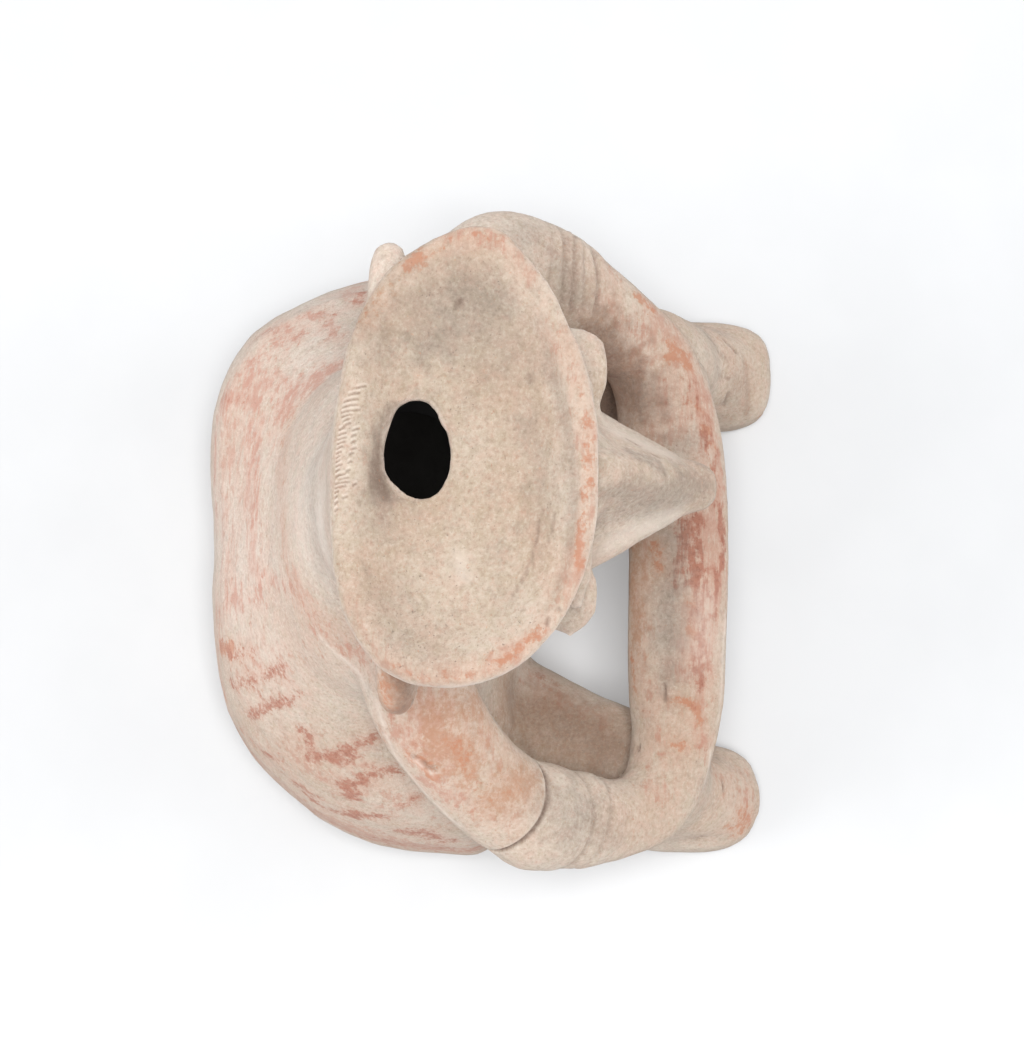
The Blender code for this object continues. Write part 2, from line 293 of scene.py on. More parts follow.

# %% [markdown]
# ## Working the clay in code
# From here on each point of the skin is moved in or out along its normal. The moves are gathered
# in one row of numbers, in millimetres, and made all at once at the end. Next to them are rows
# for what colours the clay: pink wash, red stripes, orange patches, soot and the grime in lines,
# and painted shade and painted highlight.

# %% Rows for the relief and the paint
count = len(figure.data.vertices)
spots = np.empty(3 * count)
figure.data.vertices.foreach_get("co", spots)
spots = drawn(spots.reshape(-1, 3))
facing = np.empty(3 * count)
figure.data.vertices.foreach_get("normal", facing)
facing = facing.reshape(-1, 3) * (1, -1, 1)
relief = np.zeros(count)
KINDS = (
    "blush", "wash", "sienna", "orange", "stripe", "streak", "dust_and_shade", "soot_and_shade", "pale", "specks",
    "grime_and_shade",
)
paint = {kind: np.zeros(count) for kind in KINDS}
as_vectors = [Vector(spot) for spot in spots.tolist()]


def lumps(size, seed):
    """Soft unevenness between about -1 and 1, in lumps of this many millimetres."""
    away = Vector((17.3, 5.1, 11.7)) * seed
    return np.array([noise.noise(spot / size + away) for spot in as_vectors])


def fade(distance, reach):
    """1 in the middle, falling softly to 0 at its reach."""
    return np.clip(1 - (distance / reach) ** 2, 0, 1) ** 2


def on_skin(path, step=1.2):
    """A path of the drawing, stepped finely and laid onto the clay."""
    laid = []
    for start, end in zip(path, path[1:]):
        start, end = Vector(start), Vector(end)
        steps = max(1, round((end - start).length / step))
        for index in range(steps + 1):
            place = start.lerp(end, index / steps)
            found = figure.closest_point_on_mesh(clay(*place))[1]
            laid.append(drawn(np.array([found]))[0])
    return np.array(laid)


def near(path, reach):
    """The points within reach of a path, their distance from it and their place along it."""
    box = np.all((spots > path.min(0) - reach) & (spots < path.max(0) + reach), axis=1)
    which = np.flatnonzero(box)
    nearest = np.full(len(which), 1e9)
    along = np.zeros(len(which))
    for index, (start, end) in enumerate(zip(path, path[1:])):
        line = end - start
        share = np.clip((spots[which] - start) @ line / max(line @ line, 1e-9), 0, 1)
        gap = np.linalg.norm(spots[which] - start - share[:, None] * line, axis=1)
        closer = gap < nearest
        nearest[closer] = gap[closer]
        along[closer] = (index + share[closer]) / (len(path) - 1)
    kept = nearest < reach
    return which[kept], nearest[kept], along[kept]


def score(path, width, depth, grime_and_shade=1.0, tapered=True):
    """A line pressed into the clay: its half width, its depth and the dirt that stays in it."""
    which, gap, along = near(on_skin(path), width)
    pressed = fade(gap, width)
    if tapered:
        pressed *= np.clip(np.minimum(along, 1 - along) / 0.15, 0, 1) ** 0.5
    relief[which] -= depth * pressed
    paint["grime_and_shade"][which] = np.maximum(paint["grime_and_shade"][which], grime_and_shade * pressed)


print("points", count)

# %% [markdown]
# ## Hand-built unevenness
# Nothing on such a figure is quite flat or round. Four sizes of noise give the push of a palm,
# the press of fingertips, the drag of a thumb and the lift of coarse grit. The outer half of the
# arm bar is rougher, because its slip and skin have flaked.

# %% Palm, finger and grit
relief += 0.42 * lumps(34, 1) + 0.20 * lumps(13, 2) + 0.10 * lumps(6, 3) + 0.06 * lumps(3, 4)
relief -= 0.25

bar_front = on_skin([(-70, 82, 124), (-30, 82, 126), (10, 82, 126), (44, 80, 126)])
which, gap, along = near(bar_front, 15)
flaked = fade(gap, 15)
relief[which] += flaked * (0.28 * lumps(2.6, 5)[which] + 0.22 * lumps(5, 6)[which])
print("relief", round(relief.min(), 2), "to", round(relief.max(), 2), "mm")

# %% [markdown]
# ## The crown
# The vent was cut with a knife and its back edge pressed down with a thumb. A soft groove follows
# the front of the rim inside the dish, with two thin streaks beside it. Behind the vent the hair
# is two rows of short strokes scored across the rim, about 2 mm apart, each a little bowed.

# %% Vent edge and hair
share = vent_share(spots)
top = spots[:, 2] > 300
upward = np.clip(2 * facing[:, 2], 0, 1)
pressed = fade(np.clip(share - 1, 0, None), 0.55) * top * (spots[:, 1] < -20)
relief -= 0.8 * pressed * upward
ragged = fade(share - 1, 0.3) * top
relief += ragged * (0.35 * lumps(7, 7) + 0.15 * lumps(3, 8))
cut_wall = fade(share - 1, 0.35) * (spots[:, 2] > 294) * (1 - upward)
# Where the knife went in or out: x, forward, reach and depth
KNIFE_SLIPS = ((18, -13, 12, 1.0), (20, -26, 7, -1.0), (-7, -26, 8, 0.8))
for x, forward, reach, inward in KNIFE_SLIPS:
    gap = np.hypot(spots[:, 0] - x, spots[:, 1] - forward)
    relief += inward * fade(gap, reach) * cut_wall

INNER_LINE = [
    (45, 12, 317), (38, 17, 319), (30, 20, 319), (19, 23, 320), (6, 26, 321), (-5, 27.5, 322),
    (-17, 27, 322), (-29, 25, 322), (-41, 22, 322), (-51, 16, 322),
]
score(INNER_LINE, 3.4, 0.95, 0.2)
LONG_STREAK = [
    (-11.9, 18.4, 314), (-20, 17.1, 314), (-28, 15.5, 314), (-35, 12.4, 314), (-41, 8.9, 314),
]
SHORT_STREAK = [(-13.4, 22, 317), (-18.9, 21.2, 317), (-23.7, 19.8, 316)]
score(LONG_STREAK, 0.9, 0.3, 0.6)
score(SHORT_STREAK, 0.8, 0.25, 0.5)

# x of each stroke, and how far forward it starts and ends
HAIR = (
    (22.9, -38.5, -33.5), (20.8, -41.5, -36.5), (18.8, -43.5, -37), (17.1, -44, -37.5),
    (15.5, -44.2, -35.9), (14.1, -44, -38.8), (12.8, -43, -39.8), (11.5, -42.5, -39.5),
    (10.2, -44.6, -41.5), (9.9, -39.2, -35.9), (8.5, -44.8, -40.8), (8.1, -39.5, -37),
    (7.1, -45.2, -40.6), (5.8, -45.6, -41), (6.1, -39.5, -37.2), (4.4, -45.8, -42),
    (4, -39.2, -36.8), (2.8, -46.1, -42.4), (2.4, -40, -37.8), (1.5, -46.2, -43),
    (0.3, -46, -42.8), (-0.1, -40.5, -38.2), (-1.1, -46.1, -42), (-2.5, -45.9, -43),
    (-2.7, -41, -39), (-4.1, -46.1, -40.4), (-5.2, -44, -39), (-6.4, -46.2, -38.8),
    (-7.7, -46.2, -40), (-9.1, -46, -43), (-10.5, -46.2, -43.8), (-10.8, -42, -39.5),
    (-12.4, -46, -43.2), (-14.6, -46, -43.4), (-6.8, -38.2, -36),
)
for x, back, front in HAIR:
    middle = (back + front) / 2
    stroke = [(x - 0.5, back, 318), (x + 0.1, middle, 319), (x + 0.4, front, 318)]
    score(stroke, 0.55, 0.34, 0.22)
    beside = [(x + 0.4, back, 318), (x + 1.0, middle, 319), (x + 1.3, front, 318)]
    score(beside, 0.6, -0.2, 0)
print("hair", len(HAIR), "strokes")

# %% [markdown]
# ## Arm bands
# Rings of clay go round both upper arms. On the right arm the end of the upper arm overlaps the
# first ring, with a sharp crease. On the left arm uneven grooves part finer ridges, and one ridge
# swells between them. A ring is drawn round the arm from four places along it: on its inner side,
# on top, outside and underneath.

# %% Creases round the arms
RIGHT_ARM = (
    (-30, -28, 186), (-46, -24, 187), (-64, -18, 182), (-82, -4, 167), (-92, 8, 156),
    (-97, 18, 149), (-98, 29, 141), (-98, 41, 133), (-97, 50, 127), (-90, 64, 118),
)
LEFT_ARM = (
    (30, -28, 186), (46, -25, 187), (64, -20, 184), (83, -11, 174), (95, -1, 166),
    (97.5, 7, 160), (95.5, 16, 154), (93.5, 24, 149), (91, 32, 143), (87, 41, 136), (81, 50, 128),
)


def ring(arm, inner, top, outer, under, radius=18):
    """A closed line round an arm, which passes these four places counted in the arm's points."""
    mean = (inner + top + outer + under) / 4
    sway = (inner - outer) / 2
    lift = (top - under) / 2
    twice = (inner + outer - top - under) / 4
    line = []
    for step in range(37):
        turn = 2 * pi * step / 36
        where = mean + sway * cos(turn) + lift * sin(turn) + twice * cos(2 * turn)
        index = int(where)
        start, end = Vector(arm[index]), Vector(arm[index + 1])
        along = (end - start).normalized()
        inward = Vector((-start.x, 0, 0))
        inward = (inward - along * inward.dot(along)).normalized()
        over = along.cross(inward)
        over *= 1 if over.z > 0 else -1
        out = inward * cos(turn) + over * sin(turn)
        line.append(start.lerp(end, where - index) + radius * out)
    return line


# Depth, width and line of each groove, from the outer side of the arm to its inner side
LEFT_GROOVES = (
    (0.3, 1, [(108, 20, 166), (100, 20.5, 171), (92, 20.5, 171), (84, 20, 168)]),
    (0.9, 1.5, [
        (110, 22, 158), (107, 25.3, 165), (99, 25.7, 169), (92, 25.6, 169), (85, 25.4, 166),
        (79, 24, 158),
    ]),
    (0.4, 0.9, [
        (109, 25, 158), (107, 27, 164), (99, 27.5, 168), (92, 27.5, 168), (85, 27.3, 165),
        (79, 26, 158),
    ]),
    (1, 1.5, [
        (108, 27, 155), (107, 28.9, 162), (99, 29.3, 167), (91, 29.2, 167), (84, 29, 164),
        (79, 28.9, 158),
    ]),
    (0.6, 1.1, [
        (104.5, 32.2, 161.5), (98, 32.6, 164.5), (91.5, 32.8, 164.4), (85, 32.6, 161.5),
        (79, 32.5, 157),
    ]),
    (1.1, 2, [
        (104, 36, 152), (103, 36.5, 157.5), (99, 37.5, 159), (94, 38.5, 160), (88, 38.7, 159.5),
        (80, 37, 155),
    ]),
    (-1.3, 3.8, [(108, 25, 158), (105.5, 30.5, 162.5), (98, 31, 166), (91, 31, 166), (84, 31, 163)]),
)
for depth, width, line in LEFT_GROOVES:
    score(line, width, depth, max(0, depth / 2))
# Arm and its four places, width, depth and grime of each ring
RINGS = (
    (RIGHT_ARM, (4.2, 4.57, 4.42, 4.4), 1.3, 1.3, 1.0),
    (RIGHT_ARM, (5.5, 5.5, 5.55, 5.5), 1.6, 0.22, 0.15),
    (RIGHT_ARM, (6.1, 6.18, 6.0, 6.05), 1.3, 0.5, 0.35),
    (RIGHT_ARM, (6.95, 6.7, 6.5, 6.7), 1.8, 0.4, 0.25),
    (LEFT_ARM, (5.75, 5.6, 5.45, 5.55), 1.2, 0.2, 0.1),
    (LEFT_ARM, (7.1, 6.8, 6.4, 6.7), 1.2, 0.2, 0.1),
    (LEFT_ARM, (8.1, 7.6, 7.2, 7.5), 1.2, 0.2, 0.1),
)
for arm, places, width, depth, grime_and_shade in RINGS:
    score(ring(arm, *places), width, depth, grime_and_shade, tapered=False)
print("grooves", len(LEFT_GROOVES), "rings", len(RINGS))

# %% [markdown]
# ## Face, hands and feet
# The face looks down, out of the camera's sight, so it is finished in the plain way of its kind:
# a slit across each bulging eye, a short slit for the mouth, two nostrils pressed under the nose.
# Fingers and toes are a few strokes of the same stick. The smoothing drew in the tip of the nose,
# the inner side of the left arm and the left eye, so these are pushed out again.

# %% Slits, fingers and toes
score([(-42, 32, 261.5), (-32, 36, 261), (-23, 34, 261.5)], 1.4, 1.1)
score([(30, 34, 261.5), (39, 37, 261), (49, 32, 261.5)], 1.4, 1.1)

NOSE_TIP = [(1, 75, 254), (9, 75, 254)]
ARM_INSIDE = [(76, 39, 149), (71, 42, 143), (67, 45, 137), (63, 48, 132)]
EYE_FRONT = [(36, 46, 271), (50, 42, 271)]
score(NOSE_TIP, 11, -2.5, 0, tapered=False)
score(ARM_INSIDE, 12, -2.2, 0)
score(EYE_FRONT, 9, -1.3, 0, tapered=False)

score([(-9, 33, 236.5), (3, 35, 237), (15, 33, 236.5)], 1.6, 1.6)
for x in (-3, 12):
    score([(x - 0.7, 50, 245), (x + 0.7, 54, 245)], 2.4, 2.0, tapered=False)
LEFT_EAR = [(51, -24, 281), (63, -24, 284), (73, -24, 278), (75, -24, 268), (70, -24, 258)]
RIGHT_EAR = [(-48, -18, 281), (-58, -18, 284), (-67, -18, 278), (-69, -18, 268), (-64, -18, 258)]
for ear in (LEFT_EAR, RIGHT_EAR):
    score(ear, 1.6, 0.6, 0.4)

for side, palm in ((1, 53), (-1, -64)):
    for height in (98.5, 103, 107.5):
        score([(palm, 90, height), (palm + side * 24, 88, height)], 1.2, 0.9, 0.7)
for middle in (86, -83.5):
    for step in (-1.5, -0.5, 0.5, 1.5):
        x = middle + 9 * step
        score([(x, 110, 18), (x, 113, 11), (x, 112, 4)], 1.3, 0.8, 0.6)
print("face, fingers and toes scored")

# %% [markdown]
# ## Knocks and scratches
# A few larger marks of age: a long gouge on the right shoulder, a scratch, a pit and a shallow
# trough on the arm bar, cuts on the feet, scratches on the nose, and chips in the rim and dish.

# %% Larger marks
# Path, width, depth and grime of each
SCRATCHES = (
    ([(-80, -22, 191), (-83, -18, 190), (-86, -14, 188)], 1.5, 0.7, 0.8),
    ([(-48, 66, 132), (-55, 66, 132)], 0.9, 0.6, 1.0),
    ([(-70, 57, 124), (-73, 57, 124)], 1.5, 1.2, 1.0),
    ([(-78, 93, 48), (-83, 94, 49)], 1.1, 0.6, 0.8),
    ([(93, 82, 70), (92, 87, 56)], 1.5, 0.6, 0.5),
    ([(94, 88, 46), (90, 97, 42)], 1.3, 0.7, 0.6),
    ([(88, 84, 58), (86, 92, 48)], 1.3, 0.6, 0.5),
    ([(80, 84, 60), (79, 94, 46)], 1.2, 0.6, 0.5),
    ([(70, 92, 34), (75, 94, 43)], 1.8, 1.0, 0.6),
    ([(66, 101, 20), (83, 101, 39), (92, 98, 40)], 2.8, 0.4, 0.3),
    ([(-102, 83, 28), (-99, 88, 37)], 1.3, 0.8, 0.5),
    ([(17, 44, 269), (13, 49, 270)], 1.0, 0.35, 0.7),
    ([(12, 52, 271), (9, 55, 270)], 1.0, 0.3, 0.6),
    ([(-60, 66, 131), (-30, 66, 133), (0, 66, 133), (28, 66, 132)], 4.5, 0.3, 0.1),
    ([(-42.5, 24.6, 323), (-44.7, 24, 323)], 1.1, 0.5, 1.0),
    ([(-46.3, 21.2, 323), (-48.4, 20, 322)], 1.0, 0.4, 1.0),
    ([(52, -7, 312), (49.5, -10, 311)], 1.3, 0.3, 1.0),
    ([(29, 13, 314), (26, 13.5, 314)], 1.6, 0.3, 0.6),
)
for path, width, depth, grime_and_shade in SCRATCHES:
    score(path, width, depth, grime_and_shade)
print("scratches", len(SCRATCHES))

# %% [markdown]
# ## Move the skin
# The moves are made along the normals. The underside stays flat on the table, and no point leaves
# the box of the solid.

# %% Shape the skin
standing = np.clip(spots[:, 2] / 3, 0, 1)
underneath = (spots[:, 2] < 0.5) & (facing[:, 2] < -0.5)
shaped = spots + facing * (relief * standing)[:, None]
shaped[underneath, 2] = 0
in_metres = np.array([clay(*spot) for spot in shaped.tolist()])
inside_box = np.clip(in_metres, solid_box[0], solid_box[1])
print("points brought back to the box", int((inside_box != in_metres).any(axis=1).sum()))
in_metres = inside_box
figure.data.vertices.foreach_set("co", in_metres.ravel())
figure.data.update()

# %% [markdown]
# ## Dips and edges
# Dips are coloured darker, and edges paler, partly as painted highlight beside rubbed wear. Each
# point is compared with the mean of its neighbours: above them it is an edge, below them a dip.

# %% Measure dips and edges
edge_ends = np.empty(2 * len(figure.data.edges), np.int32)
figure.data.edges.foreach_get("vertices", edge_ends)
first, second = edge_ends.reshape(-1, 2).T
neighbours = np.bincount(edge_ends, minlength=count)


def mean_of_neighbours(values):
    """Each point's neighbours, averaged."""
    total = np.bincount(first, values[second], count) + np.bincount(second, values[first], count)
    return total / neighbours


figure.data.vertices.foreach_get("normal", normals := np.empty(3 * count))
normals = normals.reshape(-1, 3)
length = np.linalg.norm(in_metres[first] - in_metres[second], axis=1) * 1000
mean_length = (np.bincount(first, length, count) + np.bincount(second, length, count)) / neighbours
pull = np.stack([mean_of_neighbours(in_metres[:, axis]) for axis in range(3)], axis=1) - in_metres
dip = 1000 * (pull * normals).sum(axis=1) / mean_length**2
for _ in range(3):
    dip = 0.5 * dip + 0.5 * mean_of_neighbours(dip)
sharp_edge, deep_dip = np.percentile(dip, (5, 95))
print("dips", round(float(deep_dip), 3), "edges", round(float(sharp_edge), 3))

# %% [markdown]
# ## Where the slip was brushed
# The red slip was thin and most of it has worn off. A pink blush is left on the back and along
# the rim, stripes fan out over both hips, and orange and sienna patches stay on the ears, on the
# right upper arm and along the bar of the arms. Each brush stroke is a strength, a width and a
# path on the clay.

# %% A brush
ragged_edge = lumps(4, 9)


def brush(kind, strength, width, path):
    """A soft stroke on the clay: full in the middle, half gone at its width, then nothing."""
    which, gap, along = near(on_skin(path, 2.5), 2.2 * width)
    gap = gap * (1 + 0.6 * ragged_edge[which])
    laid = strength * np.exp(-((gap / width) ** 2)) * np.clip(3 * (2.2 - gap / width), 0, 1)
    paint[kind][which] = 1 - (1 - paint[kind][which]) * (1 - laid)


def lay_strokes(kind, strokes):
    """Lays strokes of one kind, each a strength, a width and a path."""
    for strength, width, path in strokes:
        brush(kind, strength, width, path)
    print(kind, len(strokes), "strokes, on average", round(float(paint[kind].mean()), 4))


# %% [markdown]
# Blush is what rubbed slip leaves, pink and soft. Wash is thin slip in broad, streaky strokes over
# it, which run down the back, round the hips and along the rim and the arm bar.

# %% Blush and wash
lay_strokes("blush", (
    (0.6, 10, [(-74, -86, 60), (-92, -64, 66), (-102, -40, 74), (-105, -20, 66)]),
    (0.55, 13, [(48, -99, 106), (57, -96, 110), (64, -88, 115), (75, -78, 116), (84, -67, 113)]),
    (0.7, 11, [(33, -96, 114), (17, -97, 110), (0, -96, 109), (-17, -94, 115)]),
    (0.75, 12, [(40, -86, 129), (21, -86, 135), (2, -83, 142), (-15, -80, 147)]),
    (0.5, 10, [(37, -73, 153), (12, -71, 176), (-9, -69, 186), (-24, -64, 187)]),
    (0.5, 9, [(-25, -62, 193), (-36, -54, 196), (-45, -45, 196), (-52, -36, 201)]),
    (0.6, 8, [(49, -73, 143), (55, -66, 148), (61, -57, 151)]),
    (0.6, 9, [(-22, -99, 96), (-36, -100, 78), (-50, -97, 71), (-62, -93, 54)]),
    (0.55, 8, [(-62, -93, 54), (-78, -82, 50), (-92, -66, 50), (-100, -50, 56)]),
    (0.8, 9, [(-95, -62, 62), (-101, -49, 58), (-106, -30, 64), (-108, -11, 56), (-109, 5, 62)]),
    (0.45, 10, [(-37, -79, 137), (-42, -69, 151), (-44, -57, 178)]),
    (0.45, 9, [(-73, -69, 110), (-78, -66, 107), (-83, -56, 109)]),
    (0.4, 8, [(-88, -34, 112), (-91, -25, 109), (-96, -14, 97)]),
    (0.75, 6, [(95, -53, 105), (106, -50, 72)]),
    (0.6, 5, [(70, -12, 320), (70, -4, 321), (66, 6, 321), (58, 13, 322)]),
    (0.5, 5, [(44, 21, 323), (34, 26, 323), (23, 29, 324), (11, 32, 324)]),
    (0.6, 5, [(8, 32, 324), (-5, 33, 324), (-17, 31, 324), (-27, 29, 324)]),
    (0.6, 5, [(-32, 29, 324), (-42, 24, 323), (-50, 19, 322), (-56, 11, 322)]),
    (0.65, 5, [(-57, 10, 322), (-62, 1, 321), (-65, -9, 320), (-64, -20, 318), (-61, -27, 317)]),
    (0.5, 4, [(-58, -29, 319), (-51, -34, 318), (-42, -38, 318)]),
    (0.7, 9, [(-72, -24, 275), (-73, -18, 198), (-80, -9, 192)]),
    (0.5, 10, [(-64, -16, 202), (-66, -5, 195), (-72, 4, 185)]),
    (0.5, 8, [(-81, -19, 191), (-91, -9, 183), (-99, 1, 175), (-102, 12, 171)]),
    (0.35, 7, [(-80, 4, 184), (-87, 13, 176), (-93, 18, 171)]),
    (0.5, 7, [(86, 39, 158), (81, 48, 148), (74, 58, 140)]),
    (0.8, 8, [(87, 59, 138), (74, 71, 130), (60, 78, 127)]),
    (0.75, 7, [(56, 77, 129), (42, 82, 127), (27, 85, 126)]),
    (0.8, 8, [(19, 84, 128), (1, 85, 127), (-17, 84, 128)]),
    (0.7, 8, [(11, 77, 132), (-7, 77, 133), (-25, 76, 133), (-40, 76, 132)]),
    (0.6, 7, [(-25, 83, 129), (-39, 81, 130), (-54, 79, 131), (-66, 79, 128)]),
    (0.55, 7, [(2, 58, 129), (-18, 57, 127), (-36, 57, 127)]),
    (0.4, 8, [(-51, 62, 131), (-65, 65, 130), (-76, 62, 129)]),
    (0.3, 8, [(-75, 76, 129), (-87, 67, 132), (-96, 58, 139)]),
    (0.3, 6, [(-102, 43, 153), (-103, 58, 138), (-101, 69, 129)]),
    (0.6, 10, [(-78, 93, 49), (-85, 102, 38), (-95, 102, 32)]),
    (0.4, 10, [(92, 91, 49), (84, 100, 41), (72, 101, 31)]),
    (0.6, 10, [(65, 54, 136), (55, 64, 133), (44, 71, 133)]),
    (0.5, 8, [(61, 45, 118), (52, 52, 127), (44, 59, 131)]),
    (0.6, 9, [(-44, 18, 81), (-52, 29, 87), (-59, 44, 95)]),
    (0.3, 7, [(-68, -25, 283), (-71, -22, 279)]),
    (0.4, 7, [(-103, -38, 63), (-105, -19, 60)]),
))
lay_strokes("wash", (
    (0.75, 7, [(56, -100, 100), (54, -93, 114), (53, -87, 123)]),
    (0.6, 9, [(66, -93, 108), (67, -87, 115), (57, -78, 131), (49, -71, 146)]),
    (0.7, 6, [(81, -84, 101), (80, -77, 111), (76, -71, 121)]),
    (0.7, 5, [(86, -67, 111), (85, -61, 116), (75, -57, 132)]),
    (0.8, 4, [(94, -48, 109), (90, -50, 114)]),
    (0.8, 7, [(57, -60, 153), (60, -55, 154), (63, -50, 156)]),
    (0.65, 9, [(43, -73, 149), (50, -67, 151), (55, -62, 153)]),
    (0.7, 7, [(42, -103, 96), (27, -103, 94), (12, -102, 91)]),
    (0.6, 8, [(37, -87, 130), (20, -83, 141), (5, -83, 144)]),
    (0.6, 6, [(5, -93, 119), (-3, -93, 120), (-18, -90, 123)]),
    (0.65, 7, [(-23, -97, 105), (-23, -88, 126), (-24, -79, 147)]),
    (0.6, 6, [(-16, -79, 151), (-20, -71, 172), (-24, -66, 182)]),
    (0.4, 9, [(-28, -62, 190), (-37, -55, 194), (-42, -46, 198)]),
    (0.4, 5, [(-40, -56, 189), (-46, -46, 194), (-52, -35, 202)]),
    (0.5, 8, [(-31, -102, 71), (-45, -98, 75), (-62, -88, 74), (-78, -74, 74)]),
    (0.5, 9, [(-66, -87, 80), (-74, -76, 95), (-81, -70, 91)]),
    (0.65, 8, [(-90, -62, 60), (-99, -53, 54), (-106, -34, 52), (-109, -15, 55), (-109, 4, 62)]),
    (0.5, 7, [(-73, -32, 191), (-71, -26, 197), (-75, -21, 196)]),
    (0.6, 6, [(-77, -25, 194), (-88, -18, 184), (-94, -9, 180)]),
    (0.5, 8, [(-91, -15, 180), (-94, -4, 180)]),
    (0.55, 6, [(37, 19, 320), (29, 26, 323)]),
    (0.6, 5, [(71, -11, 319), (71, -4, 321), (68, 3, 321)]),
    (0.5, 7, [(-18, 82, 130), (-39, 83, 129), (-54, 81, 130)]),
    (0.5, 7, [(41, 77, 131), (30, 83, 128), (20, 86, 126)]),
    (0.5, 6, [(-46, 57, 127), (-49, 60, 129)]),
    (0.55, 6, [(-67, 62, 128), (-70, 65, 130)]),
    (0.6, 7, [(-87, 63, 133), (-88, 68, 132)]),
    (0.5, 6, [(-69, 81, 126), (-71, 82, 124)]),
    (0.6, 9, [(-75, 103, 31), (-85, 105, 34), (-94, 102, 31)]),
    (0.5, 6, [(77, 54, 143), (78, 49, 146)]),
    (0.4, 12, [(66, 47, 132), (58, 49, 120)]),
    (0.5, 5, [(98, 41, 155), (97, 46, 149)]),
    (0.45, 6, [(-44, 22, 78), (-48, 24, 84), (-54, 29, 89)]),
))

# %% [markdown]
# Sienna and orange lie thicker: on the ears, the right upper arm, the rim and the arm bar. Some
# sienna strokes are painted shade: inside the left arm under the head, on the thighs under the arms
# and on the right ear under the rim.

# %% Sienna and orange
lay_strokes("sienna", (
    (0.34, 8, [(36, -72, 155), (19, -71, 175), (0, -69, 186), (-14, -69, 183), (-22, -66, 184)]),
    (0.23, 8, [(-28, -62, 190), (-39, -53, 195), (-47, -46, 193)]),
    (0.32, 9, [(-63, -18, 203), (-62, -8, 198), (-62, 0, 187)]),
    (0.27, 8, [(-72, 4, 184), (-79, 12, 176), (-79, 18, 165)]),
    (0.27, 9, [(-75, -13, 196), (-76, -6, 193), (-83, -3, 188)]),
    (0.27, 8, [(-94, 3, 179), (-91, 10, 177), (-90, 16, 173)]),
    (0.25, 6, [(43, -36, 318), (50, -34, 318), (54, -31, 319)]),
    (0.23, 5, [(-11, 56, 127), (-25, 57, 127), (-40, 57, 127)]),
    (0.27, 5, [(1, 61, 131), (-7, 63, 132)]),
    (0.25, 5, [(-65, 61, 128), (-70, 72, 130)]),
    # Painted shade between the left knee and the left eye, under the head
    (0.23, 7, [(61, 41, 94), (36, 37, 269)]),
    (0.9, 5, [(1, 54, 124), (-14, 54, 122), (-29, 55, 124)]),
    (0.5, 4, [(-36, 54, 122), (-50, 55, 122)]),
    # The right ear's orange-brown, darkened as painted shade under the rim
    (1, 7, [(-60, -26, 286), (-66, -25, 284), (-72, -25, 277)]),
    (0.7, 7, [(-66, -15, 201), (-64, -8, 198), (-63, 0, 189)]),
    (1, 7, [(-76, -13, 196), (-78, -7, 193), (-83, -3, 188)]),
    (0.9, 6.5, [(-94, 6, 178), (-90, 13, 175), (-86, 18, 170)]),
    (0.6, 4, [(-81, -19, 192), (-85, -14, 189)]),
    (0.6, 5, [(1, 62, 132), (-7, 63, 132)]),
    (0.5, 4, [(-18, 74, 133), (-20, 76, 133)]),
    (0.7, 3, [(-54, 71, 133), (-55, 74, 132)]),
    # Painted shadow of the head inside the left arm, and painted shade on the knee below it
    (0.7, 9, [(76, 39, 148), (67, 46, 137), (58, 51, 129), (52, 55, 130)]),
    (1, 9, [(65, 44, 132), (62, 46, 95), (60, 42, 90)]),
    # The thighs' own reddish brown, darkened as painted shade under the arms
    (0.7, 9, [(-50, 9, 105), (-54, 22, 88), (-63, 39, 96), (-70, 50, 101)]),
    (0.5, 8, [(-61, 9, 104), (-69, 24, 93), (-74, 41, 100)]),
    (0.4, 5, [(44, -36, 318), (51, -32, 319)]),
    # The right ear, darkened as painted shade under the rim
    (0.9, 7, [(-69, -30, 276), (-71, -22, 277)]),
))
